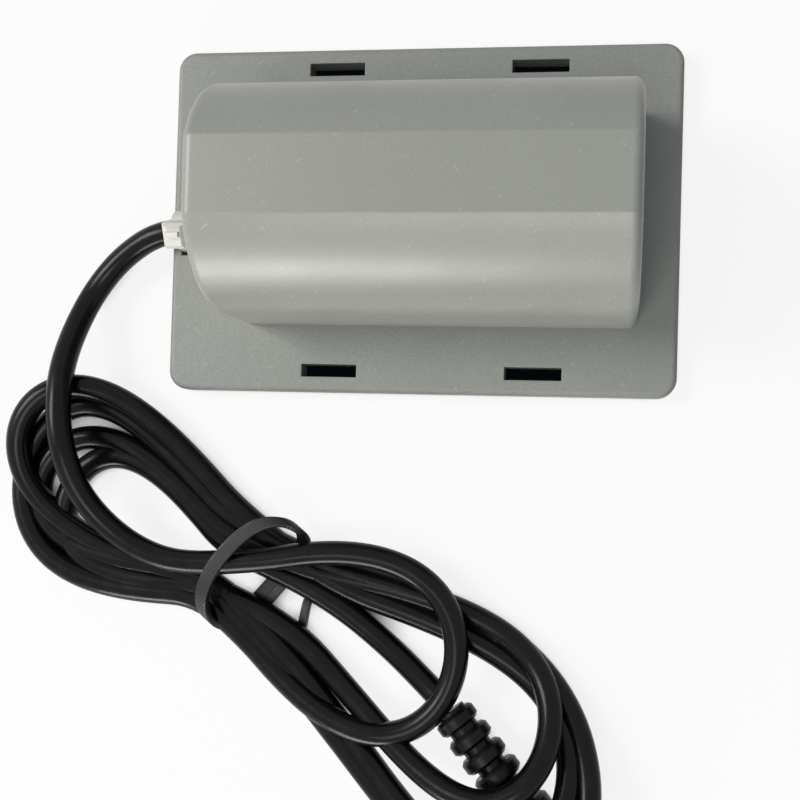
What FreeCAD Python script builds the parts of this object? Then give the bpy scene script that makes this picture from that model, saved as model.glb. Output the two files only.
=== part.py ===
import FreeCAD, Part
import math
import operator
import os
import Sketcher
from FreeCAD import Placement, Rotation, Vector

# Vibration motor for a small feeder: a brushed direct-current motor with an unbalanced
# weight on each end of its shaft, clamped to a moulded base plate under an arched cover.
# A low-voltage lead is tied to the plate and ends in a barrel plug; its slack is wound
# into a flat hank. Millimetres, +X along the shaft, +Z up, origin in the middle of the
# base plate's underside.

SIZES = [
    # base plate
    ("plate_length", 100.0, "base plate along the shaft"),
    ("plate_width", 67.5, "base plate across the shaft"),
    ("plate_thick", 4.0, "base plate"),
    ("plate_corner", 3.7, "corner radius in plan"),
    ("plate_round", 1.0, "rounding of the top edge"),
    ("slot_length", 11.0, "strap slot along X"),
    ("slot_width", 2.5, "strap slot along Y"),
    ("slot_pitch", 40.0, "between the two slots of a side"),
    ("slot_shift", 2.8, "middle of the slots from the plate's middle"),
    ("slot_inset", 4.1, "slot's middle from the plate's edge"),
    # arched cover
    ("cover_length", 77.0, "cover along the shaft"),
    ("cover_shift", 3.8, "cover's middle from the plate's middle"),
    ("cover_radius", 20.75, "arch radius, and half of the cover's width"),
    ("cover_land", 6.65, "half width of the flat along the crown"),
    ("cover_wall", 2.2, "wall"),
    ("cover_round", 1.8, "rounding of the end edges"),
    ("cover_crease", 0.9, "rounding where the arch meets the flat"),
    ("shaft_above_plate", 15.0, "motor axis above the plate"),
    # screws that hold the cover
    ("boss_radius", 2.9, "cover's screw boss"),
    ("boss_height", 9.8, "cover's screw boss"),
    ("boss_inset", 2.6, "boss axis from the inside of the walls"),
    ("cover_screw_radius", 1.45, "cover screw's shank"),
    ("cover_screw_head", 2.7, "cover screw's head radius"),
    ("cover_screw_head_height", 1.9, "cover screw's head"),
    ("cover_screw_length", 9.5, "cover screw under its head"),
    ("screw_clearance", 0.2, "round a shank or a head"),
    ("thread_clearance", 0.02, "between a thread and its pilot bore"),
    ("drive_width", 0.7, "cross recess in a screw head"),
    ("drive_depth", 0.55, "cross recess, as a share of its head's height"),
    ("drive_reach", 1.2, "cross recess, as a share of its head's radius"),
    ("boss_floor", 1.2, "boss beyond the end of its pilot bore"),
    # motor
    ("can_radius", 12.2, "motor can"),
    ("can_length", 30.8, "motor can"),
    ("can_wall", 0.8, "can's sheet"),
    ("can_round", 1.5, "can's drawn shoulder"),
    ("neck_radius", 3.6, "bearing neck of the can"),
    ("neck_length", 1.8, "bearing neck beyond the can"),
    ("vent_length", 5.0, "window in the can's side"),
    ("vent_width", 2.6, "window in the can's side"),
    ("face_hole_radius", 1.25, "tapped hole in the can's face"),
    ("face_hole_circle", 8.0, "tapped holes from the axis"),
    ("cap_thick", 2.8, "rear end cap"),
    ("cap_recess", 0.3, "end cap's face inside the can's rim"),
    ("hub_radius", 4.2, "bearing hub of the end cap"),
    ("hub_length", 2.5, "bearing hub beyond the end cap"),
    ("bearing_radius", 3.0, "sintered bush"),
    ("bearing_length", 3.2, "sintered bush"),
    ("shaft_radius", 1.15, "motor shaft"),
    ("shaft_end", 1.0, "shaft beyond a weight"),
    ("shaft_chamfer", 0.3, "shaft end"),
    ("press_clearance", 0.03, "between pieces pressed together"),
    ("running_clearance", 0.03, "shaft in its bush, and brush on the commutator"),
    ("air_gap", 0.4, "core to magnet"),
    ("magnet_thick", 2.3, "magnet, radially"),
    ("magnet_length", 19.0, "magnet along the shaft"),
    ("magnet_half_angle", 64.0, "half of a magnet's arc, degrees"),
    ("clip_thick", 0.5, "spring clip between the magnets"),
    ("clip_half_angle", 21.0, "half of a clip's arc, degrees"),
    ("clip_length", 14.0, "spring clip along the shaft"),
    ("core_length", 15.0, "stack of the core"),
    ("core_shift", 3.0, "core's and magnets' middle from the can's middle"),
    ("core_hub", 3.2, "core's hub radius"),
    ("tooth_width", 4.0, "core tooth"),
    ("tooth_root", 0.3, "core tooth sunk in its tip"),
    ("neck_root", 0.8, "core tooth's root from the shaft"),
    ("tip_thick", 1.6, "core tooth tip"),
    ("tip_half_angle", 52.0, "half of a tooth tip's arc, degrees"),
    ("coil_gap", 0.15, "coil to core"),
    ("coil_half_angle", 56.0, "half of a coil's arc, degrees"),
    ("coil_overhang", 2.3, "coil beyond the stack"),
    ("commutator_radius", 2.5, "commutator"),
    ("commutator_length", 4.0, "commutator segment"),
    ("commutator_gap", 0.7, "coil to commutator"),
    ("segment_thick", 0.6, "commutator segment"),
    ("segment_half_angle", 55.0, "half of a segment's arc, degrees"),
    ("sleeve_lip", 0.2, "commutator's core beyond its segments"),
    ("washer_radius", 2.2, "thrust washer"),
    ("washer_thick", 0.5, "thrust washer"),
    ("washer_gap", 0.3, "thrust washer to its bush"),
    # brush gear
    ("brush_width", 2.2, "brush along the shaft"),
    ("brush_height", 2.0, "brush round the commutator"),
    ("brush_depth", 1.5, "brush towards the commutator"),
    ("arm_thick", 0.3, "brush arm's leaf"),
    ("arm_width", 2.6, "brush arm's leaf"),
    ("arm_inset", 3.7, "foot of a brush arm from the can's radius"),
    ("foot_height", 2.5, "foot of a brush arm"),
    ("way_clearance", 0.05, "round a brush arm in the end cap"),
    ("terminal_stand", 0.6, "terminal tab behind the can's rim"),
    ("terminal_thick", 0.4, "terminal"),
    ("terminal_beyond", 0.6, "end of a terminal tab beyond the can"),
    ("capacitor_radius", 2.7, "suppression capacitor"),
    ("capacitor_thick", 1.7, "suppression capacitor"),
    ("capacitor_leg", 0.3, "radius of its legs"),
    ("capacitor_gap", 1.1, "capacitor below the bearing hub"),
    ("capacitor_rear", 0.1, "capacitor behind the can's rim"),
    ("capacitor_leg_lift", 0.5, "its legs above the feet of the brush arms"),
    ("capacitor_leg_gap", 0.02, "end of a leg to its terminal"),
    # unbalanced weights
    ("weight_radius", 12.5, "unbalanced weight"),
    ("weight_length", 10.0, "weight along the shaft"),
    ("weight_hub", 4.2, "weight's hub"),
    ("weight_gap", 1.4, "motor to weight"),
    ("weight_chamfer", 0.6, "weight's rim"),
    ("set_screw_radius", 1.45, "set screw"),
    ("set_screw_length", 2.6, "set screw"),
    ("set_screw_gap", 0.05, "set screw to the shaft"),
    ("set_screw_depth", 1.3, "socket in a set screw"),
    ("set_screw_socket", 0.75, "half width of its socket across flats"),
    # motor mounting
    ("saddle_thick", 6.0, "saddle on the plate, along the shaft"),
    ("saddle_root", 0.5, "saddle sunk in the plate, so that they join"),
    ("saddle_pitch", 18.0, "between the two saddles"),
    ("saddle_drop", 0.3, "saddle's top below the axis"),
    ("ring_thick", 1.5, "rubber ring between can and saddle"),
    ("ring_width", 5.0, "rubber ring along the shaft"),
    ("seat_clearance", 0.05, "ring in its saddle and strap"),
    ("strap_thick", 0.8, "steel clamp strap"),
    ("strap_width", 4.6, "steel clamp strap"),
    ("strap_side", 0.35, "strap's foot to the cover's wall"),
    ("clamp_screw_radius", 0.95, "clamp screw's shank"),
    ("clamp_screw_head", 1.65, "clamp screw's head radius"),
    ("clamp_screw_head_height", 1.3, "clamp screw's head"),
    ("clamp_screw_length", 8.0, "clamp screw under its head"),
    ("clamp_bore_extra", 0.5, "pilot bore beyond its clamp screw"),
    ("clamp_hole_clearance", 0.1, "round a clamp screw in its strap"),
    # lead, its tie and its plug
    ("cord_radius", 2.4, "lead's jacket"),
    ("cord_lift", 0.3, "lead over the plate"),
    ("cord_way", -2.6, "lead's place across the plate, where it enters"),
    ("cord_inside", 3.0, "lead inside the cover's end wall"),
    ("notch_clearance", 0.3, "round the lead in the cover's wall"),
    ("core_radius", 0.65, "one insulated core of the lead"),
    ("core_gap", 0.15, "end of a core to the jacket or its terminal"),
    ("core_seat", 0.9, "core on a terminal, from the tab's end"),
    ("core_corner", 3.4, "core from the inside of the cover's side"),
    ("core_lift", 1.4, "core over the plate"),
    ("tie_place", 3.4, "cable tie from the plate's left edge"),
    ("tie_width", 2.5, "cable tie strap"),
    ("tie_thick", 1.0, "cable tie strap"),
    ("tie_clearance", 0.25, "cable tie round the lead and in its holes"),
    ("tie_head_angle", 65.0, "cable tie head round the lead, up from the near side, degrees"),
    ("tie_head_lift", 0.2, "cable tie head from the inside of its strap"),
    ("tie_head_bevel", 0.7, "edges of the cable tie head"),
    ("tie_head_length", 5.0, "cable tie head across the lead"),
    ("tie_head_width", 4.4, "cable tie head along the lead"),
    ("tie_head_height", 3.0, "cable tie head"),
    ("tie_channel", 1.7, "channel for the tie in the plate's underside"),
    ("tie_tail", 0.8, "cut end of the tie beyond its head"),
    ("tie_sunk", 0.3, "tie's strap over the plate's underside"),
    ("tie_hole_slack", 0.6, "tie hole longer than its strap"),
    ("hank_height", 10.2, "hank, two strands deep"),
    ("hank_bridge_height", 15.6, "hank where it rides over the plug"),
    ("hank_bevel", 2.4, "bevel of the hank's top edge"),
    ("wire_tie_width", 2.7, "twist tie"),
    ("wire_tie_thick", 0.8, "twist tie"),
    ("wire_tie_groove", 1.3, "groove for the twist tie round the hank"),
    ("wire_tie_play", 0.3, "on each side of the twist tie in its groove"),
    ("wire_tie_slack", 0.25, "twist tie off the bottom of its groove"),
    ("wire_tie_tail", 0.55, "radius of the twisted ends"),
    ("plug_clearance", 0.4, "plug in the hank"),
    ("plug_lift", 0.1, "plug over the surface below"),
    ("relief_start_radius", 4.1, "first rib of the strain relief"),
    ("relief_end_radius", 4.9, "last rib of the strain relief"),
    ("relief_core_radius", 2.9, "strain relief between its ribs"),
    ("rib_pitch", 4.2, "strain relief ribs"),
    ("rib_thick", 2.9, "strain relief rib"),
    ("rib_bevel", 0.6, "edges of a rib"),
    ("rib_start", 1.2, "middle of the first rib from the lead's end"),
    ("rib_root", 0.5, "rib sunk in the core of the relief"),
    ("grip_radius", 5.3, "plug's grip"),
    ("grip_length", 19.0, "plug's grip"),
    ("grip_flat", 4.6, "half of the grip across its flats"),
    ("grip_flat_inset", 4.0, "a flat from each end of the grip"),
    ("grip_bevel", 0.8, "ends of the grip"),
    ("relief_lead", 1.0, "strain relief before its first rib's place"),
    ("barrel_radius", 2.75, "plug barrel"),
    ("barrel_length", 9.5, "plug barrel beyond the grip"),
    ("barrel_wall", 0.35, "plug barrel"),
    ("barrel_root", 2.5, "barrel's root in the grip"),
    ("barrel_sunk", 5.7, "barrel's seat in the grip, in depth"),
    ("barrel_gap", 0.1, "bottom of the seat to the barrel"),
    ("insulator_inset", 0.8, "insulator from the barrel's mouth"),
    ("contact_inset", 0.4, "inner contact from the barrel's mouth"),
    ("contact_floor", 2.0, "closed end of the inner contact"),
    ("contact_radius", 1.6, "plug's inner contact"),
    ("contact_bore", 1.05, "bore of the inner contact"),
]
RELIEF_RIBS = 5
TEETH = 3

# The lead's route from inside the cover to the hank, chosen by hand: (x, y, z).
CORD_ROUTE = [
    (-41.5, -2.55, 6.7), (-51.4, -2.95, 6.65), (-60.2, -7.4, 3.6), (-67.2, -14.2, 2.45), (-71.9, -22.9, 2.45),
    (-73.8, -31.0, 2.45),
]
CORD_END = (-73.9, -38.0, 2.45)

# Outline of the hank, once round from the lead's end, and of its raised part over the plug.
HANK_OUTLINE = [
    (-79.2, -38.2), (-82.6, -46.0), (-80.8, -58.6), (-75.2, -68.4), (-63.0, -73.2), (-47.5, -75.2),
    (-36.6, -83.2), (-24.5, -91.6), (-11.2, -101.6), (0.6, -115.6), (17.5, -123.0), (34.0, -119.4),
    (39.0, -107.5), (33.2, -96.0), (24.0, -84.2), (12.4, -75.4), (0.4, -68.4), (-12.9, -64.4),
    (-25.5, -61.2), (-35.0, -50.2), (-45.6, -38.8), (-57.0, -33.9), (-68.4, -38.2),
]
BRIDGE_OUTLINE = [(8.0, -106.0), (20.0, -96.0), (34.0, -101.0), (37.0, -113.0), (26.0, -121.0), (12.0, -117.0)]
HANK_WAIST = (-31.6, -70.4)
HANK_WAIST_ANGLE = 60.0
HANK_WAIST_HALF = 12.4
PLUG_START = (9.54, -94.97)
PLUG_ANGLE = -50.5

doc = FreeCAD.newDocument("VibrationMotor")
sheet = doc.addObject("Spreadsheet::Sheet", "Sizes")


class Size:
    """A number together with the spreadsheet expression that gives it."""

    def __init__(self, value, text):
        self.value = float(value)
        self.text = text

    def __add__(self, other):
        return combined(self, "+", other)

    def __radd__(self, other):
        return combined(other, "+", self)

    def __sub__(self, other):
        return combined(self, "-", other)

    def __rsub__(self, other):
        return combined(other, "-", self)

    def __mul__(self, other):
        return combined(self, "*", other)

    def __rmul__(self, other):
        return combined(other, "*", self)

    def __truediv__(self, other):
        return combined(self, "/", other)

    def __neg__(self):
        return combined(0, "-", self)

    def __float__(self):
        return self.value


SIGNS = {"+": operator.add, "-": operator.sub, "*": operator.mul, "/": operator.truediv}


def as_size(number):
    return number if isinstance(number, Size) else Size(number, f"({float(number)!r})")


def combined(first, sign, second):
    first = as_size(first)
    second = as_size(second)
    return Size(SIGNS[sign](first.value, second.value), f"({first.text} {sign} {second.text})")


def root(size):
    return Size(math.sqrt(size.value), f"sqrt({size.text})")


def sine(angle):
    angle = as_size(angle)
    return Size(math.sin(math.radians(angle.value)), f"sin({angle.text} * 1 deg)")


def cosine(angle):
    angle = as_size(angle)
    return Size(math.cos(math.radians(angle.value)), f"cos({angle.text} * 1 deg)")


class Sheet:
    """Gives each size of the spreadsheet by its name."""

    def __init__(self):
        for row, (alias, value, note) in enumerate(SIZES, 1):
            sheet.set(f"A{row}", note)
            sheet.set(f"B{row}", str(value))
            sheet.setAlias(f"B{row}", alias)
            setattr(self, alias, Size(value, f"Sizes.{alias}"))


mm = Sheet()
doc.recompute()

# Places that several pieces share.
axis_height = mm.plate_thick + mm.shaft_above_plate
inside_half = mm.cover_radius - mm.cover_wall
inside_left = mm.cover_shift - mm.cover_length / 2 + mm.cover_wall
inside_right = mm.cover_shift + mm.cover_length / 2 - mm.cover_wall
can_front = mm.can_length / 2
can_rear = -mm.can_length / 2
can_inside = mm.can_radius - mm.can_wall
cap_face = can_rear + mm.cap_recess
hub_face = cap_face - mm.hub_length
neck_face = can_front + mm.neck_length
magnet_outer = can_inside - mm.press_clearance
magnet_inner = magnet_outer - mm.magnet_thick
core_radius = magnet_inner - mm.air_gap
coil_outer = core_radius - mm.tip_thick - mm.coil_gap
coil_inner = mm.core_hub + mm.coil_gap
coil_rear = mm.core_shift - mm.core_length / 2 - mm.coil_overhang
segment_front = coil_rear - mm.commutator_gap
segment_rear = segment_front - mm.commutator_length
arm_drop = mm.can_radius - mm.arm_inset
terminal_reach = mm.can_radius + mm.terminal_beyond
arm_side = mm.commutator_radius + mm.running_clearance + mm.brush_depth
tab_front = can_rear - mm.terminal_stand
tab_rear = tab_front - mm.terminal_thick
left_weight_end = hub_face - mm.weight_gap - mm.weight_length
right_weight_start = neck_face + mm.weight_gap
ring_outer = mm.can_radius + mm.press_clearance + mm.ring_thick
strap_inner = ring_outer + mm.seat_clearance
saddle_top = axis_height - mm.saddle_drop
strap_foot_end = inside_half - mm.strap_side
clamp_screw_way = (strap_inner + mm.strap_thick + strap_foot_end) / 2
cord_height = mm.plate_thick + mm.cord_lift + mm.cord_radius
tie_x = mm.tie_place - mm.plate_length / 2
tie_inner = mm.cord_radius + mm.tie_clearance
tie_hole_length = mm.tie_thick + 2 * mm.tie_clearance + mm.tie_hole_slack


# ---------------------------------------------------------------- drawing helpers

def bind(thing, name, size):
    thing.setExpression(name, as_size(size).text)


def move(thing, x=0, y=0, z=0, rotation=None):
    """Place an object, with each coordinate bound to its size."""
    coordinates = [as_size(value) for value in (x, y, z)]
    turn = rotation or Rotation()
    thing.Placement = Placement(Vector(*[c.value for c in coordinates]), turn)
    for letter, coordinate in zip("xyz", coordinates):
        if coordinate.value or "Sizes" in coordinate.text:
            bind(thing, f"Placement.Base.{letter}", coordinate)


def body(label, x=0, y=0, z=0, rotation=None):
    new = doc.addObject("PartDesign::Body", label)
    new.Label = label
    move(new, x, y, z, rotation)
    return new


def datum(owner, role):
    return [item for item in owner.Origin.OriginFeatures if item.Role == role][0]


def new_sketch(owner, name, role, lift=None):
    sketch = owner.newObject("Sketcher::SketchObject", name)
    sketch.AttachmentSupport = [(datum(owner, role), "")]
    sketch.MapMode = "FlatFace"
    if lift is not None:
        bind(sketch, "AttachmentOffset.Base.z", lift)
    doc.recompute()
    return sketch


def pin(sketch, curve, end, direction, size):
    """Tie one coordinate of a point to its size."""
    size = as_size(size)
    if abs(size.value) < 1e-9:
        axis = -2 if direction == "X" else -1
        sketch.addConstraint(Sketcher.Constraint("PointOnObject", curve, end, axis))
        return
    row = sketch.addConstraint(Sketcher.Constraint(f"Distance{direction}", -1, 1, curve, end, size.value))
    bind(sketch, f"Constraints[{row}]", size)


def outline(sketch, points):
    """A closed chain. A point is (x, y), or (x, y, centre_x, centre_y) where an arc starts.

    An arc runs counterclockwise where its point ends with True, else clockwise."""
    places = [Vector(float(point[0]), float(point[1]), 0) for point in points]
    curves = []
    for index, point in enumerate(points):
        start = places[index]
        finish = places[(index + 1) % len(points)]
        if len(point) == 2:
            curves.append((sketch.addGeometry(Part.LineSegment(start, finish)), 1, 2))
            continue
        centre = Vector(float(point[2]), float(point[3]), 0)
        radius = start.distanceToPoint(centre)
        circle = Part.Circle(centre, Vector(0, 0, 1), radius)
        first, last = (start, finish) if point[4] else (finish, start)
        angles = [math.atan2(spot.y - centre.y, spot.x - centre.x) for spot in (first, last)]
        if angles[1] <= angles[0]:
            angles[1] += 2 * math.pi
        number = sketch.addGeometry(Part.ArcOfCircle(circle, *angles))
        curves.append((number, 1, 2) if point[4] else (number, 2, 1))
    for index, point in enumerate(points):
        curve, start_end, _ = curves[index]
        before, _, finish_end = curves[index - 1]
        sketch.addConstraint(Sketcher.Constraint("Coincident", before, finish_end, curve, start_end))
        last = points[index - 1]
        spot = places[index]
        if len(last) == 2:
            pin(sketch, curve, start_end, "X", point[0])
            pin(sketch, curve, start_end, "Y", point[1])
        elif abs(spot.x - float(last[2])) > abs(spot.y - float(last[3])):
            pin(sketch, curve, start_end, "Y", point[1])
        else:
            pin(sketch, curve, start_end, "X", point[0])
        if len(point) > 2:
            pin(sketch, curve, 3, "X", point[2])
            pin(sketch, curve, 3, "Y", point[3])
    return sketch


def rectangle(sketch, left, bottom, right, top):
    return outline(sketch, [(left, bottom), (right, bottom), (right, top), (left, top)])


def circle(sketch, x, y, radius):
    x, y, radius = as_size(x), as_size(y), as_size(radius)
    number = sketch.addGeometry(Part.Circle(Vector(x.value, y.value, 0), Vector(0, 0, 1), radius.value))
    pin(sketch, number, 3, "X", x)
    pin(sketch, number, 3, "Y", y)
    row = sketch.addConstraint(Sketcher.Constraint("Radius", number, radius.value))
    bind(sketch, f"Constraints[{row}]", radius)
    return sketch


def ring_sector(sketch, inner, outer, half_angle, upward=True):
    """A piece of a ring, symmetric about the sketch's vertical axis."""
    side = sine(half_angle)
    rise = cosine(half_angle) if upward else -cosine(half_angle)
    return outline(sketch, [
        (-outer * side, outer * rise, 0, 0, not upward),
        (outer * side, outer * rise),
        (inner * side, inner * rise, 0, 0, upward),
        (-inner * side, inner * rise),
    ])


def settle(feature):
    """Recompute, and stop at once where a feature has failed."""
    doc.recompute()
    if "Invalid" in feature.State or feature.Shape.isNull():
        raise RuntimeError(f"{feature.Name} failed: {feature.getStatusString()}")
    return feature


def pad(owner, sketch, length, reverse=False, middle=False):
    feature = owner.newObject("PartDesign::Pad", sketch.Name + "_pad")
    feature.Profile = sketch
    bind(feature, "Length", length)
    feature.Reversed = reverse
    if middle:
        feature.SideType = "Symmetric"
    return settle(feature)


def pocket(owner, sketch, length=None, reverse=False):
    """Cut a pocket; without a length it goes right through both ways."""
    before = owner.Shape.Volume
    feature = owner.newObject("PartDesign::Pocket", sketch.Name + "_pocket")
    feature.Profile = sketch
    if length is None:
        feature.Type = "ThroughAll"
        feature.SideType = "Symmetric"
    else:
        bind(feature, "Length", length)
        feature.Reversed = reverse
    settle(feature)
    if owner.Shape.Volume >= before - 1e-6:
        raise RuntimeError(feature.Name + " cuts nothing")
    return feature


def revolve(owner, sketch):
    """Turn a profile about the sketch's horizontal axis."""
    feature = owner.newObject("PartDesign::Revolution", sketch.Name + "_turned")
    feature.Profile = sketch
    feature.ReferenceAxis = (sketch, ["H_Axis"])
    feature.Angle = 360
    return settle(feature)


def polar(owner, features, count):
    pattern = owner.newObject("PartDesign::PolarPattern", features[0].Name + "_polar")
    pattern.Originals = features
    pattern.Axis = (datum(owner, "X_Axis"), [""])
    pattern.Angle = 360
    pattern.Occurrences = count
    owner.Tip = pattern
    return settle(pattern)


def edges_where(feature, test):
    return [f"Edge{n}" for n, edge in enumerate(feature.Shape.Edges, 1) if test(edge)]


def fillet(owner, names, radius):
    base = owner.Tip
    feature = owner.newObject("PartDesign::Fillet", owner.Name + "_fillet")
    feature.Base = (base, names)
    bind(feature, "Radius", radius)
    return settle(feature)


def chamfer(owner, names, size):
    base = owner.Tip
    feature = owner.newObject("PartDesign::Chamfer", owner.Name + "_chamfer")
    feature.Base = (base, names)
    bind(feature, "Size", size)
    return settle(feature)


def box(name, x, y, z, length, width, height):
    """A box given by its lowest corner and its sizes."""
    new = doc.addObject("Part::Box", name)
    bind(new, "Length", length)
    bind(new, "Width", width)
    bind(new, "Height", height)
    move(new, x, y, z)
    return new


TURNS = {
    "X": Rotation(Vector(0, 1, 0), 90),
    "Y": Rotation(Vector(1, 0, 0), -90),
    "Z": Rotation(),
    "down": Rotation(Vector(1, 0, 0), 180),
}


def cylinder(name, radius, height, x, y, z, turn="Z"):
    new = doc.addObject("Part::Cylinder", name)
    bind(new, "Radius", radius)
    bind(new, "Height", height)
    move(new, x, y, z, TURNS[turn])
    return new


def fused(name, pieces):
    new = doc.addObject("Part::MultiFuse", name)
    new.Shapes = pieces
    return new


def cut(name, base, tool):
    new = doc.addObject("Part::Cut", name)
    new.Base = base
    new.Tool = tool
    return new


def group(label, pieces):
    new = doc.addObject("Part::Compound", label)
    new.Label = label
    new.Links = pieces
    return new


def from_shape(label, shape):
    new = doc.addObject("Part::Feature", label)
    new.Label = label
    new.Shape = shape
    return new


NODES = []


def keep(thing):
    NODES.append(thing)
    return thing


def turned_piece(label, points, x=0, y=0, z=0, rotation=None):
    """A body of one revolved profile, given as (along, radius) points."""
    new = body(label, x, y, z, rotation)
    revolve(new, outline(new_sketch(new, label + "_profile", "XZ_Plane"), points))
    return keep(new)


def motor_piece(label, points):
    return turned_piece(label, points, mm.cover_shift, 0, axis_height)


def tube_points(rear, front, inner, outer):
    return [(rear, inner), (front, inner), (front, outer), (rear, outer)]


# ---------------------------------------------------------------- base plate and cover

def base_plate():
    plate = body("base_plate")
    half_length = mm.plate_length / 2
    half_width = mm.plate_width / 2
    in_x = half_length - mm.plate_corner
    in_y = half_width - mm.plate_corner
    corners = []
    for side_x, side_y, first in ((1, -1, "Y"), (1, 1, "X"), (-1, 1, "Y"), (-1, -1, "X")):
        along_y = (side_x * in_x, side_y * half_width)
        along_x = (side_x * half_length, side_y * in_y)
        start, finish = (along_y, along_x) if first == "Y" else (along_x, along_y)
        corners += [start + (side_x * in_x, side_y * in_y, True), finish]
    pad(plate, outline(new_sketch(plate, "plate_outline", "XY_Plane"), corners), mm.plate_thick)
    top = mm.plate_thick.value
    rim = edges_where(plate.Tip, lambda e: all(abs(v.Z - top) < 1e-6 for v in e.Vertexes))
    fillet(plate, rim, mm.plate_round)
    saddles(plate)
    slots(plate)
    tie_seat(plate)
    screw_seats(plate)
    return keep(plate)


def slots(plate):
    """Four slots for a strap, and nothing in the plate's middle."""
    sketch = new_sketch(plate, "strap_slots", "XY_Plane")
    for side_x in (-1, 1):
        for side_y in (-1, 1):
            middle_x = mm.slot_shift + side_x * mm.slot_pitch / 2
            middle_y = side_y * (mm.plate_width / 2 - mm.slot_inset)
            rectangle(sketch, middle_x - mm.slot_length / 2, middle_y - mm.slot_width / 2,
                      middle_x + mm.slot_length / 2, middle_y + mm.slot_width / 2)
    pocket(plate, sketch)


def saddles(plate):
    """Two cradles that hold the motor's rubber rings, with pilot bores for the clamps."""
    for side, name in ((-1, "left"), (1, "right")):
        near = mm.cover_shift + side * mm.saddle_pitch / 2 - mm.saddle_thick / 2
        half = strap_foot_end
        seat = strap_inner
        seat_end = root(seat * seat - mm.saddle_drop * mm.saddle_drop)
        sketch = new_sketch(plate, "saddle_" + name, "YZ_Plane", near)
        outline(sketch, [
            (-half, mm.plate_thick - mm.saddle_root), (half, mm.plate_thick - mm.saddle_root), (half, saddle_top),
            (seat_end, saddle_top, 0, axis_height, False), (-seat_end, saddle_top), (-half, saddle_top),
        ])
        pad(plate, sketch, mm.saddle_thick)
    bores = new_sketch(plate, "clamp_bores", "XY_Plane", saddle_top)
    for side_x in (-1, 1):
        for side_y in (-1, 1):
            circle(bores, mm.cover_shift + side_x * mm.saddle_pitch / 2, side_y * clamp_screw_way,
                   mm.clamp_screw_radius + mm.thread_clearance)
    pocket(plate, bores, mm.clamp_screw_length + mm.clamp_bore_extra)


def tie_seat(plate):
    """Two holes beside the lead and a channel between them underneath."""
    half = mm.tie_width / 2 + mm.tie_clearance
    near = tie_inner - mm.tie_clearance
    far = near + tie_hole_length
    holes = new_sketch(plate, "tie_holes", "XY_Plane")
    for side in (-1, 1):
        ends = sorted((mm.cord_way + side * near, mm.cord_way + side * far), key=float)
        rectangle(holes, tie_x - half, ends[0], tie_x + half, ends[1])
    pocket(plate, holes)
    channel = new_sketch(plate, "tie_channel", "XY_Plane")
    rectangle(channel, tie_x - half, mm.cord_way - far, tie_x + half, mm.cord_way + far)
    pocket(plate, channel, mm.tie_channel, reverse=True)


def cover_screw_places():
    for side_x in (inside_left + mm.boss_inset, inside_right - mm.boss_inset):
        for side_y in (-1, 1):
            yield side_x, side_y * (inside_half - mm.boss_inset)


def screw_seats(plate):
    """Clearance holes and sunk seats for the four cover screws, from below."""
    holes = new_sketch(plate, "cover_screw_holes", "XY_Plane")
    seats = new_sketch(plate, "cover_screw_seats", "XY_Plane")
    for x, y in cover_screw_places():
        circle(holes, x, y, mm.cover_screw_radius + mm.screw_clearance)
        circle(seats, x, y, mm.cover_screw_head + mm.screw_clearance)
    pocket(plate, holes)
    pocket(plate, seats, mm.cover_screw_head_height + mm.screw_clearance, reverse=True)


def arch(sketch, radius, land, base):
    """The cover's section: upright sides, an arch about the shaft and a flat crown."""
    crown = axis_height + root(radius * radius - land * land)
    return outline(sketch, [
        (radius, base), (radius, axis_height, 0, axis_height, True), (land, crown),
        (-land, crown, 0, axis_height, True), (-radius, axis_height), (-radius, base),
    ])


def housing_cover():
    cover = body("housing_cover")
    start = mm.cover_shift - mm.cover_length / 2
    shell = new_sketch(cover, "cover_section", "YZ_Plane", start)
    pad(cover, arch(shell, mm.cover_radius, mm.cover_land, mm.plate_thick), mm.cover_length)
    ends = (start.value, start.value + mm.cover_length.value)
    low = mm.plate_thick.value

    def on_end_rim(edge):
        flat = [all(abs(v.X - end) < 1e-6 for v in edge.Vertexes) for end in ends]
        return any(flat) and any(v.Z > low + 1e-6 for v in edge.Vertexes)

    def on_crease(edge):
        high = axis_height.value + 1
        across = abs(edge.Vertexes[0].X - edge.Vertexes[-1].X) > 1
        return across and all(v.Z > high for v in edge.Vertexes)

    fillet(cover, edges_where(cover.Tip, on_crease), mm.cover_crease)
    fillet(cover, edges_where(cover.Tip, on_end_rim), mm.cover_round)
    hollow = new_sketch(cover, "cover_hollow", "YZ_Plane", inside_left)
    inner_land = mm.cover_land - mm.cover_wall / 3
    pocket(cover, arch(hollow, inside_half, inner_land, mm.plate_thick - 1),
           inside_right - inside_left, reverse=True)
    bosses = new_sketch(cover, "cover_bosses", "XY_Plane", mm.plate_thick)
    bores = new_sketch(cover, "cover_bores", "XY_Plane", mm.plate_thick)
    for x, y in cover_screw_places():
        circle(bosses, x, y, mm.boss_radius)
        circle(bores, x, y, mm.cover_screw_radius + mm.thread_clearance)
    pad(cover, bosses, mm.boss_height)
    pocket(cover, bores, mm.boss_height - mm.boss_floor, reverse=True)
    notch = new_sketch(cover, "lead_notch", "YZ_Plane", start - 1)
    wide = mm.cord_radius + mm.notch_clearance
    outline(notch, [
        (mm.cord_way - wide, mm.plate_thick - 1), (mm.cord_way + wide, mm.plate_thick - 1),
        (mm.cord_way + wide, cord_height, mm.cord_way, cord_height, True), (mm.cord_way - wide, cord_height),
    ])
    pocket(cover, notch, mm.cover_wall + 2, reverse=True)
    return keep(cover)


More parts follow.
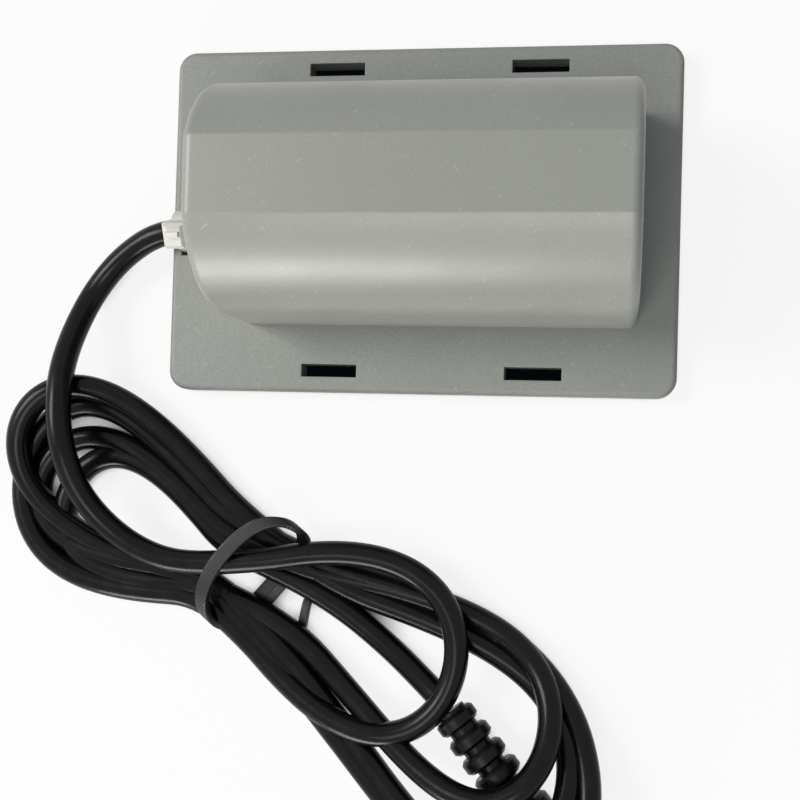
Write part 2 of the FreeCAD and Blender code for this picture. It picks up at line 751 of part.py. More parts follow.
def screw(name, shank, head, head_height, length, x, y, z, up):
    """A cross-head screw whose head's underside is at z; it points up or down."""
    turn, sign = ("Z", 1) if up else ("down", -1)
    parts = [
        cylinder(name + "_shank", shank, length, x, y, z, turn),
        cylinder(name + "_head", head, head_height, x, y, z - sign * head_height, turn),
    ]
    solid = fused(name + "_blank", parts)
    deep = head_height * mm.drive_depth
    wide = head * mm.drive_reach
    low = z - head_height if up else z + head_height - deep
    bars = [
        box(name + "_slot_x", x - wide / 2, y - mm.drive_width / 2, low, wide, mm.drive_width, deep),
        box(name + "_slot_y", x - mm.drive_width / 2, y - wide / 2, low, mm.drive_width, wide, deep),
    ]
    return cut(name, solid, fused(name + "_cross", bars))


def cover_screws():
    seat = mm.cover_screw_head_height + mm.screw_clearance
    pieces = []
    for number, (x, y) in enumerate(cover_screw_places(), 1):
        pieces.append(screw(f"cover_screw_{number}", mm.cover_screw_radius, mm.cover_screw_head,
                            mm.cover_screw_head_height, mm.cover_screw_length, x, y, seat, True))
    return keep(group("cover_screws", pieces))


# ---------------------------------------------------------------- motor mounting

def mount_rings_and_straps():
    screws = []
    for side, name in ((-1, "left"), (1, "right")):
        middle = mm.cover_shift + side * mm.saddle_pitch / 2
        half = mm.ring_width / 2
        turned_piece("rubber_ring_" + name,
                     tube_points(-half, half, mm.can_radius + mm.press_clearance, ring_outer),
                     middle, 0, axis_height)
        strap(name, middle)
        for side_y in (-1, 1):
            screws.append(screw(f"clamp_screw_{name}_{'far' if side_y > 0 else 'near'}",
                                mm.clamp_screw_radius, mm.clamp_screw_head, mm.clamp_screw_head_height,
                                mm.clamp_screw_length, middle, side_y * clamp_screw_way,
                                saddle_top + mm.strap_thick, False))
    keep(group("clamp_screws", screws))


def strap(name, middle):
    """A bent steel strap: an arch over the rubber ring with a foot on each side."""
    piece = body("clamp_strap_" + name, middle, 0, 0)
    inner = strap_inner
    outer = inner + mm.strap_thick
    low = saddle_top
    high = saddle_top + mm.strap_thick
    drop_low = low - axis_height
    drop_high = high - axis_height
    inner_end = root(inner * inner - drop_low * drop_low)
    outer_end = root(outer * outer - drop_high * drop_high)
    foot = strap_foot_end
    sketch = new_sketch(piece, "strap_section_" + name, "YZ_Plane", -mm.strap_width / 2)
    outline(sketch, [
        (inner_end, low), (foot, low), (foot, high), (outer_end, high, 0, axis_height, True),
        (-outer_end, high), (-foot, high), (-foot, low), (-inner_end, low, 0, axis_height, False),
    ])
    pad(piece, sketch, mm.strap_width)
    holes = new_sketch(piece, "strap_holes_" + name, "XY_Plane", high + 1)
    for side_y in (-1, 1):
        circle(holes, 0, side_y * clamp_screw_way, mm.clamp_screw_radius + mm.clamp_hole_clearance)
    pocket(piece, holes, mm.strap_thick + 2)
    return keep(piece)


# ---------------------------------------------------------------- motor

def motor_can():
    can = body("motor_can", mm.cover_shift, 0, axis_height)
    shoulder = mm.can_radius - mm.can_round
    bore = mm.bearing_radius + mm.press_clearance
    revolve(can, outline(new_sketch(can, "can_profile", "XZ_Plane"), [
        (can_rear, can_inside), (can_front - mm.can_wall, can_inside), (can_front - mm.can_wall, bore),
        (neck_face, bore), (neck_face, mm.neck_radius), (can_front, mm.neck_radius),
        (can_front, shoulder, can_front - mm.can_round, shoulder, True),
        (can_front - mm.can_round, mm.can_radius), (can_rear, mm.can_radius),
    ]))
    vents = new_sketch(can, "can_vents", "XZ_Plane")
    middle = can_rear + mm.cap_thick + mm.vent_length
    rectangle(vents, middle - mm.vent_length / 2, -mm.vent_width / 2, middle + mm.vent_length / 2,
              mm.vent_width / 2)
    pocket(can, vents)
    holes = new_sketch(can, "can_face_holes", "YZ_Plane", can_front + 1)
    for side in (-1, 1):
        circle(holes, 0, side * mm.face_hole_circle, mm.face_hole_radius)
    pocket(can, holes, mm.can_wall + 2)
    return keep(can)


def end_cap():
    cap = body("end_cap", mm.cover_shift, 0, axis_height)
    rim = can_inside - mm.press_clearance
    bore = mm.bearing_radius + mm.press_clearance
    cap_front = cap_face + mm.cap_thick
    revolve(cap, outline(new_sketch(cap, "cap_profile", "XZ_Plane"), [
        (hub_face, bore), (cap_front, bore), (cap_front, rim), (cap_face, rim),
        (cap_face, mm.hub_radius), (hub_face, mm.hub_radius),
    ]))
    ways = new_sketch(cap, "terminal_ways", "YZ_Plane", cap_front + 1)
    slack = mm.way_clearance
    for side in (-1, 1):
        ends = sorted((side * (arm_side - slack), side * (arm_side + mm.arm_thick + slack)), key=float)
        rectangle(ways, ends[0], -arm_drop - slack, ends[1], mm.foot_height - arm_drop + slack)
    pocket(cap, ways, mm.cap_thick + 2)
    return keep(cap)


def bearings():
    inner = mm.shaft_radius + mm.running_clearance
    motor_piece("bearing_rear", tube_points(hub_face, hub_face + mm.bearing_length, inner,
                                            mm.bearing_radius))
    motor_piece("bearing_front", tube_points(neck_face - mm.bearing_length, neck_face, inner,
                                             mm.bearing_radius))


def magnets():
    start = mm.core_shift - mm.magnet_length / 2
    for name, upward in (("magnet_upper", True), ("magnet_lower", False)):
        magnet = body(name, mm.cover_shift, 0, axis_height)
        sketch = new_sketch(magnet, name + "_section", "YZ_Plane", start)
        pad(magnet, ring_sector(sketch, magnet_inner, magnet_outer, mm.magnet_half_angle, upward),
            mm.magnet_length)
        keep(magnet)
    clips = []
    for name, turn in (("far", -90), ("near", 90)):
        clip = body("magnet_clip_" + name, mm.cover_shift, 0, axis_height,
                    Rotation(Vector(1, 0, 0), turn))
        sketch = new_sketch(clip, name + "_clip_section", "YZ_Plane", mm.core_shift - mm.clip_length / 2)
        pad(clip, ring_sector(sketch, magnet_outer - mm.clip_thick, magnet_outer, mm.clip_half_angle),
            mm.clip_length)
        clips.append(clip)
    keep(group("magnet_clips", clips))


def motor_shaft():
    rear = left_weight_end - mm.shaft_end
    front = right_weight_start + mm.weight_length + mm.shaft_end
    edge = mm.shaft_radius - mm.shaft_chamfer
    return motor_piece("motor_shaft", [
        (rear, 0), (front, 0), (front, edge), (front - mm.shaft_chamfer, mm.shaft_radius),
        (rear + mm.shaft_chamfer, mm.shaft_radius), (rear, edge),
    ])


def armature_core():
    """Laminated three-tooth core: a hub, and per tooth a neck and a curved tip."""
    core = body("armature_core", mm.cover_shift, 0, axis_height)
    start = mm.core_shift - mm.core_length / 2
    hub = new_sketch(core, "core_hub", "YZ_Plane", start)
    circle(hub, 0, 0, mm.core_hub)
    circle(hub, 0, 0, mm.shaft_radius + mm.press_clearance)
    pad(core, hub, mm.core_length)
    neck = new_sketch(core, "core_neck", "YZ_Plane", start)
    tip_inner = core_radius - mm.tip_thick
    rectangle(neck, -mm.tooth_width / 2, mm.shaft_radius + mm.neck_root, mm.tooth_width / 2, tip_inner + mm.tooth_root)
    neck_pad = pad(core, neck, mm.core_length)
    tip = new_sketch(core, "core_tip", "YZ_Plane", start)
    tip_pad = pad(core, ring_sector(tip, tip_inner, core_radius, mm.tip_half_angle), mm.core_length)
    polar(core, [neck_pad, tip_pad], TEETH)
    return keep(core)


def windings():
    """One coil round each tooth, filling the space up to its neighbours."""
    coils = []
    for number in range(TEETH):
        coil = body(f"coil_{number + 1}", mm.cover_shift, 0, axis_height,
                    Rotation(Vector(1, 0, 0), 360 / TEETH * number))
        sketch = new_sketch(coil, f"coil_section_{number + 1}", "YZ_Plane", coil_rear)
        length = mm.core_length + 2 * mm.coil_overhang
        pad(coil, ring_sector(sketch, coil_inner, coil_outer, mm.coil_half_angle), length)
        window = new_sketch(coil, f"coil_window_{number + 1}", "XZ_Plane")
        half = mm.core_length / 2 + mm.coil_gap
        rectangle(window, mm.core_shift - half, mm.shaft_radius, mm.core_shift + half, coil_outer + 1)
        slot = coil.newObject("PartDesign::Pocket", f"coil_window_{number + 1}_pocket")
        slot.Profile = window
        slot.SideType = "Symmetric"
        bind(slot, "Length", mm.tooth_width + 2 * mm.coil_gap)
        doc.recompute()
        coils.append(coil)
    return keep(group("windings", coils))


def commutator():
    inner = mm.shaft_radius + mm.press_clearance
    seat = mm.commutator_radius - mm.segment_thick
    motor_piece("commutator_core", tube_points(segment_rear - mm.sleeve_lip,
                                               segment_front + mm.sleeve_lip, inner, seat))
    segments = []
    for number in range(TEETH):
        segment = body(f"segment_{number + 1}", mm.cover_shift, 0, axis_height,
                       Rotation(Vector(1, 0, 0), 360 / TEETH * number + 60))
        sketch = new_sketch(segment, f"segment_section_{number + 1}", "YZ_Plane", segment_rear)
        ring_sector(sketch, seat + mm.press_clearance, mm.commutator_radius, mm.segment_half_angle)
        pad(segment, sketch, mm.commutator_length)
        segments.append(segment)
    keep(group("commutator_segments", segments))
    inner_rear = hub_face + mm.bearing_length + mm.washer_gap
    inner_front = neck_face - mm.bearing_length - mm.washer_gap - mm.washer_thick
    rings = []
    for name, start in (("rear", inner_rear), ("front", inner_front)):
        ring = body("thrust_washer_" + name, mm.cover_shift, 0, axis_height)
        points = tube_points(start, start + mm.washer_thick, inner, mm.washer_radius)
        revolve(ring, outline(new_sketch(ring, name + "_washer_profile", "XZ_Plane"), points))
        rings.append(ring)
    keep(group("thrust_washers", rings))


def brush_gear():
    """On each side a carbon brush on a leaf arm, whose foot meets a terminal."""
    middle = mm.cover_shift + (segment_rear + segment_front) / 2
    foot_end = mm.cover_shift + cap_face + mm.cap_thick
    for side, name in ((-1, "near"), (1, "far")):
        def across(inner, outer):
            return (-outer if side < 0 else inner), outer - inner

        y, width = across(mm.commutator_radius + mm.running_clearance, arm_side)
        brush = box("carbon_brush_" + name, middle - mm.brush_width / 2, y,
                    axis_height - mm.brush_height / 2, mm.brush_width, width, mm.brush_height)
        keep(brush)
        y, width = across(arm_side, arm_side + mm.arm_thick)
        front = middle + mm.arm_width / 2
        arm = fused("brush_arm_" + name, [
            box(f"arm_leaf_{name}", middle - mm.arm_width / 2, y, axis_height - arm_drop,
                mm.arm_width, width, arm_drop + mm.brush_height / 2),
            box(f"arm_foot_{name}", foot_end, y, axis_height - arm_drop, front - foot_end, width,
                mm.foot_height),
        ])
        keep(arm)
        low = axis_height - arm_drop
        rear = mm.cover_shift + tab_rear
        tab_y, tab_width = across(arm_side, terminal_reach)
        terminal = fused("terminal_" + name, [
            box(f"terminal_pin_{name}", rear, y, low, foot_end - rear, width, mm.foot_height),
            box(f"terminal_tab_{name}", rear, tab_y, low, mm.terminal_thick, tab_width, mm.foot_height),
        ])
        keep(terminal)
    capacitor()


def capacitor():
    rear = mm.cover_shift + can_rear - mm.capacitor_rear - mm.capacitor_thick
    middle = axis_height - mm.hub_radius - mm.capacitor_gap - mm.capacitor_radius
    leg = axis_height - arm_drop + mm.capacitor_leg_lift
    reach = arm_side - mm.capacitor_leg_gap
    disc = cylinder("capacitor_disc", mm.capacitor_radius, mm.capacitor_thick, rear, 0, middle, "X")
    legs = cylinder("capacitor_legs", mm.capacitor_leg, 2 * reach, rear + mm.capacitor_thick / 2,
                    -reach, leg, "Y")
    return keep(fused("suppression_capacitor", [disc, legs]))


def weights():
    """Half discs of zinc with a full hub, hanging at rest, each with a set screw."""
    screws = []
    for name, start in (("left", left_weight_end), ("right", right_weight_start)):
        weight = body("weight_" + name, mm.cover_shift, 0, axis_height)
        section = new_sketch(weight, name + "_weight_section", "YZ_Plane", start)
        hub = mm.weight_hub
        rim = mm.weight_radius
        outline(section, [(-rim, 0, 0, 0, True), (rim, 0), (hub, 0, 0, 0, True), (-hub, 0)])
        pad(weight, section, mm.weight_length)
        rounded = edges_where(weight.Tip, lambda e: e.Curve.TypeId == "Part::GeomCircle"
                              and abs(e.Curve.Radius - rim.value) < 1e-6)
        chamfer(weight, rounded, mm.weight_chamfer)
        bore = new_sketch(weight, name + "_weight_bore", "YZ_Plane", start - 1)
        circle(bore, 0, 0, mm.shaft_radius + mm.press_clearance)
        pocket(weight, bore, mm.weight_length + 2, reverse=True)
        middle = start + mm.weight_length / 2
        tapped = new_sketch(weight, name + "_set_screw_bore", "XY_Plane")
        circle(tapped, middle, 0, mm.set_screw_radius + mm.thread_clearance)
        pocket(weight, tapped, hub + 1, reverse=True)
        keep(weight)
        low = mm.shaft_radius + mm.set_screw_gap
        blank = cylinder(f"set_screw_{name}_blank", mm.set_screw_radius, mm.set_screw_length,
                         mm.cover_shift + middle, 0, axis_height + low)
        socket = box(f"set_screw_{name}_socket", mm.cover_shift + middle - mm.set_screw_socket,
                     -mm.set_screw_socket, axis_height + low + mm.set_screw_length - mm.set_screw_depth,
                     2 * mm.set_screw_socket, 2 * mm.set_screw_socket, mm.set_screw_depth)
        screws.append(cut(f"set_screw_{name}", blank, socket))
    keep(group("set_screws", screws))


# ---------------------------------------------------------------- lead, tie and plug

def rounded_path(points, print_radii=False):
    """Straight runs joined by tangent arcs, each as large as its two runs allow."""
    edges = []
    radii = []
    here = points[0]
    for before, corner, after in zip(points, points[1:], points[2:]):
        back = before - corner
        ahead = after - corner
        reach = 0.45 * min(back.Length, ahead.Length)
        back.normalize()
        ahead.normalize()
        half_turn = (math.pi - back.getAngle(ahead)) / 2
        radius = reach / math.tan(half_turn)
        inward = (back + ahead).normalize()
        start = corner + back * reach
        finish = corner + ahead * reach
        middle = corner + inward * (radius / math.cos(half_turn) - radius)
        edges.append(Part.LineSegment(here, start).toShape())
        edges.append(Part.Arc(start, middle, finish).toShape())
        radii.append(round(radius, 1))
        here = finish
    edges.append(Part.LineSegment(here, points[-1]).toShape())
    if print_radii:
        print("arc radii:", radii)
    return Part.Wire(edges)


def tube(points, radius, print_radii=False):
    path = rounded_path(points, print_radii)
    way = points[1] - points[0]
    ring = Part.Wire(Part.makeCircle(radius, points[0], way))
    solid = path.makePipeShell([ring], True, False)
    wanted = math.pi * radius * radius * path.Length
    if abs(solid.Volume - wanted) > 0.01 * wanted:
        raise RuntimeError("a tube's volume is not its section times its length")
    if print_radii:
        print("length:", round(path.Length, 1))
    return solid


def lead_start():
    return Vector((inside_left + mm.cord_inside).value, mm.cord_way.value, cord_height.value)


def cord_lead():
    points = [lead_start()] + [Vector(*point) for point in CORD_ROUTE] + [Vector(*CORD_END)]
    return keep(from_shape("cord_lead", tube(points, mm.cord_radius.value, print_radii=True)))


def inner_leads():
    """The lead's two cores, along the corners of the cover to the terminals."""
    gap = mm.core_gap.value
    start = lead_start() + Vector(gap, 0, 0)
    tab_x = (mm.cover_shift + tab_rear).value - gap
    tab_z = (axis_height - arm_drop + mm.foot_height / 2).value
    tab_y = (terminal_reach - mm.core_seat).value
    corner = (inside_half - mm.core_corner).value
    low = (mm.plate_thick + mm.core_lift).value
    for side, name in ((-1, "red"), (1, "black")):
        side_start = start + Vector(0, side * 1.1, 0)
        points = [
            side_start,
            side_start + Vector(1.6, side * 0.5, -0.4),
            Vector(start.x + 3.2, side * (corner * 0.45) + start.y * 0.3, low),
            Vector(start.x + 8.0, side * corner * 0.92, low),
            Vector(start.x + 13.0, side * (corner + 0.4), low + 1.6),
            Vector(tab_x - 2.6, side * tab_y, tab_z),
            Vector(tab_x, side * tab_y, tab_z),
        ]
        keep(from_shape("lead_" + name, tube(points, mm.core_radius.value)))


def cable_tie():
    """A nylon tie round the lead: strap down both holes, head on the near side."""
    tie = body("cable_tie", tie_x - mm.tie_width / 2, 0, 0)
    inner = tie_inner
    outer = inner + mm.tie_thick
    far_in = mm.cord_way + inner
    far_out = mm.cord_way + outer
    near_in = mm.cord_way - inner
    near_out = mm.cord_way - outer
    low = mm.tie_channel - mm.tie_thick - mm.tie_sunk
    strap_sketch = new_sketch(tie, "tie_strap", "YZ_Plane")
    outline(strap_sketch, [
        (near_out, low), (far_out, low), (far_out, cord_height, mm.cord_way, cord_height, True),
        (near_out, cord_height),
    ])
    pad(tie, strap_sketch, mm.tie_width)
    hollow = new_sketch(tie, "tie_hollow", "YZ_Plane", -1)
    outline(hollow, [
        (near_in, low + mm.tie_thick), (far_in, low + mm.tie_thick),
        (far_in, cord_height, mm.cord_way, cord_height, True), (near_in, cord_height),
    ])
    pocket(tie, hollow, mm.tie_width + 2, reverse=True)
    half = mm.tie_head_length / 2
    bottom = inner + mm.tie_head_lift
    top = bottom + mm.tie_head_height

    def beside(along, outward):
        """A point of the head, turned with it round the lead."""
        return (mm.cord_way - outward * cosine(mm.tie_head_angle) - along * sine(mm.tie_head_angle),
                cord_height + outward * sine(mm.tie_head_angle) - along * cosine(mm.tie_head_angle))

    before = mm.tie_width / 2 - mm.tie_head_width / 2
    head = new_sketch(tie, "tie_head", "YZ_Plane", before)
    outline(head, [beside(-half, bottom), beside(half, bottom), beside(half, top), beside(-half, top)])
    pad(tie, head, mm.tie_head_width)
    reach = top.value - mm.tie_head_bevel.value

    def on_head_top(edge):
        middle = edge.valueAt((edge.FirstParameter + edge.LastParameter) / 2)
        rise = middle.z - cord_height.value
        return rise > 0 and math.hypot(middle.y - mm.cord_way.value, rise) > reach

    chamfer(tie, edges_where(tie.Tip, on_head_top), mm.tie_head_bevel)
    tail = new_sketch(tie, "tie_tail", "YZ_Plane")
    start = top - mm.tie_head_bevel
    finish = top + mm.tie_tail
    outline(tail, [
        beside(-mm.tie_thick, start), beside(0, start), beside(0, finish), beside(-mm.tie_thick, finish),
    ])
    pad(tie, tail, mm.tie_width)
    return keep(tie)


def flat_outline(points):
    curve = Part.BSplineCurve()
    curve.interpolate(Points=[Vector(x, y, 0) for x, y in points], PeriodicFlag=True)
    return Part.Wire(curve.toShape())


def lobed_block(points, height, bevel):
    """A closed outline raised to a height, with its top edge bevelled."""
    block = Part.Face(flat_outline(points)).extrude(Vector(0, 0, height))
    rim = [edge for edge in block.Edges if edge.BoundBox.ZMin > height - 1e-6]
    return block.makeChamfer(bevel, rim)


def waist_box(width, half, low, high):
    """A box across the hank's waist, width along the hank and half each way across it."""
    block = Part.makeBox(width, 2 * half, high - low, Vector(-width / 2, -half, low))
    block.rotate(Vector(), Vector(0, 0, 1), HANK_WAIST_ANGLE - 90)
    block.translate(Vector(*HANK_WAIST, 0))
    return block


def plug_axis_height():
    return mm.grip_radius.value + mm.plug_lift.value


def hank():
    """The wound lead as one closed shape, with a way for the plug and for its tie."""
    solid = lobed_block(HANK_OUTLINE, mm.hank_height.value, mm.hank_bevel.value)
    bridge = lobed_block(BRIDGE_OUTLINE, mm.hank_bridge_height.value, mm.hank_bevel.value)
    solid = solid.fuse(bridge).removeSplitter()
    groove_depth = mm.wire_tie_groove.value
    top = mm.hank_height.value
    wide = mm.wire_tie_width.value + 2 * mm.wire_tie_play.value
    far = HANK_WAIST_HALF + 20
    outer = waist_box(wide, far, -1, top + 1)
    inner = waist_box(wide + 2, HANK_WAIST_HALF - groove_depth, groove_depth, top - groove_depth)
    solid = solid.cut(outer.cut(inner))
    start = Vector(*PLUG_START, plug_axis_height())
    way = Rotation(Vector(0, 0, 1), PLUG_ANGLE).multVec(Vector(1, 0, 0))
    radius = mm.grip_radius.value + mm.plug_clearance.value
    channel = Part.makeCylinder(radius, 70, start - way * 3.2, way)
    below = Part.makeBox(70, 2 * radius, start.z + 1, Vector(-3.2, -radius, -1))
    below.rotate(Vector(), Vector(0, 0, 1), PLUG_ANGLE)
    below.translate(Vector(start.x, start.y, 0))
    solid = solid.cut(channel.fuse(below))
    end = Vector(*CORD_END)
    mouth = Part.makeCylinder(mm.cord_radius.value + 0.6, 9, end + Vector(-0.1, 1.2, 0) * 7, Vector(0.1, -1.2, 0))
    solid = solid.cut(mouth)
    return keep(from_shape("cord_hank", max(solid.Solids, key=lambda piece: piece.Volume)))


def twist_tie():
    """A paper-covered wire round the waist, its two ends twisted and left standing."""
    width = mm.wire_tie_width.value
    depth = mm.wire_tie_groove.value
    thick = mm.wire_tie_thick.value
    top = mm.hank_height.value
    slack = mm.wire_tie_slack.value
    half = HANK_WAIST_HALF - depth + slack
    low = depth - slack - thick
    high = top - depth + slack + thick
    ring = waist_box(width, half + thick, low, high)
    ring = ring.cut(waist_box(width + 1, half, low + thick, high - thick))
    tails = []
    turn = Rotation(Vector(0, 0, 1), HANK_WAIST_ANGLE - 90)
    root_place = Vector(*HANK_WAIST, 0) + turn.multVec(Vector(0, 2.0, high - thick / 2))
    for spread, length in ((-1.6, 8.5), (2.2, 6.5)):
        points = [
            root_place + turn.multVec(Vector(0, spread * 0.4, 0)),
            root_place + turn.multVec(Vector(0.6, spread * 0.6, 2.2)),
            root_place + turn.multVec(Vector(length, spread * 1.6, 1.8)),
        ]
        tails.append(tube(points, mm.wire_tie_tail.value))
    return keep(from_shape("twist_tie", ring.fuse(tails).removeSplitter()))


def plug_body_piece(label, points):
    return turned_piece(label, points, PLUG_START[0], PLUG_START[1], mm.grip_radius + mm.plug_lift,
                        Rotation(Vector(0, 0, 1), PLUG_ANGLE))


def plug():
    """Overmoulded barrel plug: ribbed strain relief, grip with flats, and its contacts."""
    relief = RELIEF_RIBS * mm.rib_pitch
    grip_end = relief + mm.grip_length
    barrel_seat = mm.barrel_root + mm.press_clearance
    deep = mm.barrel_sunk
    rim = mm.grip_radius - mm.grip_bevel
    shape = plug_body_piece("plug_body", [
        (-mm.relief_lead, 0), (grip_end - deep, 0), (grip_end - deep, barrel_seat), (grip_end, barrel_seat),
        (grip_end, rim), (grip_end - mm.grip_bevel, mm.grip_radius),
        (relief + mm.grip_bevel, mm.grip_radius), (relief, rim), (relief, mm.relief_core_radius),
        (-mm.relief_lead, mm.relief_core_radius),
    ])
    for number in range(RELIEF_RIBS):
        share = number / (RELIEF_RIBS - 1)
        radius = mm.relief_start_radius * (1 - share) + mm.relief_end_radius * share
        start = number * mm.rib_pitch - mm.rib_thick / 2 + mm.rib_start
        finish = start + mm.rib_thick
        seat = mm.relief_core_radius - mm.rib_root
        rib = new_sketch(shape, f"relief_rib_{number + 1}", "XZ_Plane")
        outline(rib, [
            (start, seat), (finish, seat), (finish, radius - mm.rib_bevel), (finish - mm.rib_bevel, radius),
            (start + mm.rib_bevel, radius), (start, radius - mm.rib_bevel),
        ])
        revolve(shape, rib)
    for side in (-1, 1):
        flat = new_sketch(shape, f"grip_flat_{'left' if side < 0 else 'right'}", "XY_Plane", -mm.grip_radius - 1)
        ends = sorted((side * mm.grip_flat, side * (mm.grip_radius + 1)), key=float)
        rectangle(flat, relief + mm.grip_flat_inset, ends[0], grip_end - mm.grip_flat_inset, ends[1])
        pocket(shape, flat, 2 * mm.grip_radius + 2, reverse=True)
    barrel_start = grip_end - deep + mm.barrel_gap
    barrel_end = grip_end + mm.barrel_length
    inner = mm.barrel_root - mm.barrel_wall
    plug_body_piece("plug_barrel", [
        (barrel_start, inner), (barrel_end, inner), (barrel_end, mm.barrel_radius),
        (grip_end, mm.barrel_radius), (grip_end, mm.barrel_root), (barrel_start, mm.barrel_root),
    ])
    contact_outer = mm.contact_radius
    contact_floor = barrel_start + mm.contact_floor
    mouth = barrel_end - mm.contact_inset
    plug_body_piece("plug_insulator", tube_points(barrel_start, barrel_end - mm.insulator_inset,
                                                  contact_outer + mm.press_clearance,
                                                  inner - mm.press_clearance))
    plug_body_piece("plug_contact", [
        (barrel_start, 0), (contact_floor, 0), (contact_floor, mm.contact_bore), (mouth, mm.contact_bore),
        (mouth, contact_outer), (barrel_start, contact_outer),
    ])


# ---------------------------------------------------------------- build and write

def check_document():
    doc.recompute()
    for thing in doc.Objects:
        if "Invalid" in thing.State or "Error" in thing.State:
            raise RuntimeError(f"{thing.Label} did not compute: {thing.State}")
    for thing in NODES:
        if thing.Shape.isNull() or not thing.Shape.isValid():
            raise RuntimeError(f"{thing.Label} is not a valid shape")
        if not thing.Shape.Solids:
            raise RuntimeError(f"{thing.Label} holds no solid")


def main():
    base_plate()
    housing_cover()
    cover_screws()
    mount_rings_and_straps()
    motor_can()
    end_cap()
    bearings()
    magnets()
    motor_shaft()
    armature_core()
    windings()
    commutator()
    brush_gear()
    weights()
    inner_leads()
    cable_tie()
    cord_lead()
    hank()
    twist_tie()
    plug()
    check_document()
    os.makedirs("parts", exist_ok=True)
    for thing in NODES:
        thing.Shape.exportStep(f"parts/{thing.Label}.step")
    print(len(NODES), "nodes")


main()
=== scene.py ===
import math

import bmesh
import bpy
from bpy.props import FloatProperty, FloatVectorProperty, PointerProperty
from bpy.types import Operator, Panel, PropertyGroup
from mathutils import Matrix, Vector


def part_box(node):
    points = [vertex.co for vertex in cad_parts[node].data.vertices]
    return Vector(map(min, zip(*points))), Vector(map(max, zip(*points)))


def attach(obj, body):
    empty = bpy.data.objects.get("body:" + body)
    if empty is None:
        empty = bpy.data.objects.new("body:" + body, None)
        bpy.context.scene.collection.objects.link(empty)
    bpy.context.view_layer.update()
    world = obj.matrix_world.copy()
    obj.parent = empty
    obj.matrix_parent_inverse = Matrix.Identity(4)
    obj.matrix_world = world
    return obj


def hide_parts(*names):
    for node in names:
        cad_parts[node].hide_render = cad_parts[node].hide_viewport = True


bl_info = {
    "name": "Vibration Motor Looks",
    "version": (1, 0, 0),
    "blender": (4, 5, 0),
    "location": "View3D > Sidebar > Vibration Motor",
    "description": "Wound lead, ties, plug and finishes for a small vibration motor",
    "category": "Object",
}

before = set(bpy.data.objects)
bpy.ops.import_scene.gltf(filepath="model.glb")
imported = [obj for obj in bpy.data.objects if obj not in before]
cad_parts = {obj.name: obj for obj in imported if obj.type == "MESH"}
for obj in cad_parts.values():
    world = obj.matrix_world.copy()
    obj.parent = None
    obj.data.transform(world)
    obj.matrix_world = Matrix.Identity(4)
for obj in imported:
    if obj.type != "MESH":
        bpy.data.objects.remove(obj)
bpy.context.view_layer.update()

MM = 0.001
LEAD_DIAMETER = 4.8 * MM

# The lead from inside the cover to the hank: (x, y, z) in metres.
LEAD_ROUTE = [
    (-0.0295, -0.0026, 0.0067), (-0.0415, -0.00255, 0.0067), (-0.0514, -0.00295, 0.00665),
    (-0.06, -0.0074, 0.0044), (-0.0662, -0.0142, 0.0034), (-0.0688, -0.0226, 0.0064),
    (-0.0692, -0.0306, 0.0104),
]
# It rises over the left turns and passes the tie on the top layer.
OVER_HANK = [
    (-0.0688, -0.0386, 0.0123), (-0.0676, -0.0468, 0.0123), (-0.0648, -0.0548, 0.0106),
    (-0.0592, -0.0618, 0.0084), (-0.0515, -0.0666, 0.0074), (-0.043, -0.0682, 0.0074),
]
# The strand that leaves the tie for the plug.
TO_PLUG = [
    (-0.023, -0.0706, 0.0026), (-0.0126, -0.0763, 0.0026), (-0.0034, -0.0833, 0.0026),
    (0.0036, -0.0894, 0.0036), (0.008, -0.0931, 0.0052),
]
WAIST = (-0.0330, -0.0698)
POINTS_PER_TURN = 14
# Heights of a strand's middle on the floor and one layer up, in millimetres, and the share of a
# turn after which one that changes layer begins to sink.
LOW, HIGH = 2.6, 7.4
SINKS_AFTER = 0.7

# Each turn leaves the tie and comes back to it. In degrees and millimetres: direction, reach,
# half width, fullness, offset at its start and end, sideways lean, height at its start, end and
# top, and where along the turn the top is and how much of the turn is its hump.
TURNS = [
    (-16.0, 46.0, 12.7, 1.10, 1.5, -9.4, -1.7, HIGH, LOW, HIGH, 0.50, 0.50),
    (158.7, 51.5, 12.8, 0.90, 5.2, -5.6, -4.6, LOW, LOW, LOW, 0.50, 0.50),
    (-28.0, 68.0, 12.0, 0.74, 6.4, -1.8, -3.2, LOW, LOW, 12.8, 0.60, 0.40),
    (150.0, 54.4, 9.6, 0.90, 4.5, -7.2, -2.2, LOW, LOW, HIGH, 0.55, 0.45),
    (-30.4, 76.5, 13.4, 0.72, 4.4, -6.0, -6.4, LOW, LOW, 13.0, 0.62, 0.38),
    (155.6, 47.4, 10.0, 0.88, 1.4, -2.6, 0.6, LOW, LOW, LOW, 0.50, 0.50),
    (-23.0, 81.0, 17.0, 0.92, 1.8, -8.0, -16.0, LOW, LOW, 12.6, 0.62, 0.38),
    (156.0, 40.6, 10.2, 0.92, 3.2, -0.4, -0.4, LOW, LOW, LOW, 0.50, 0.50),
]

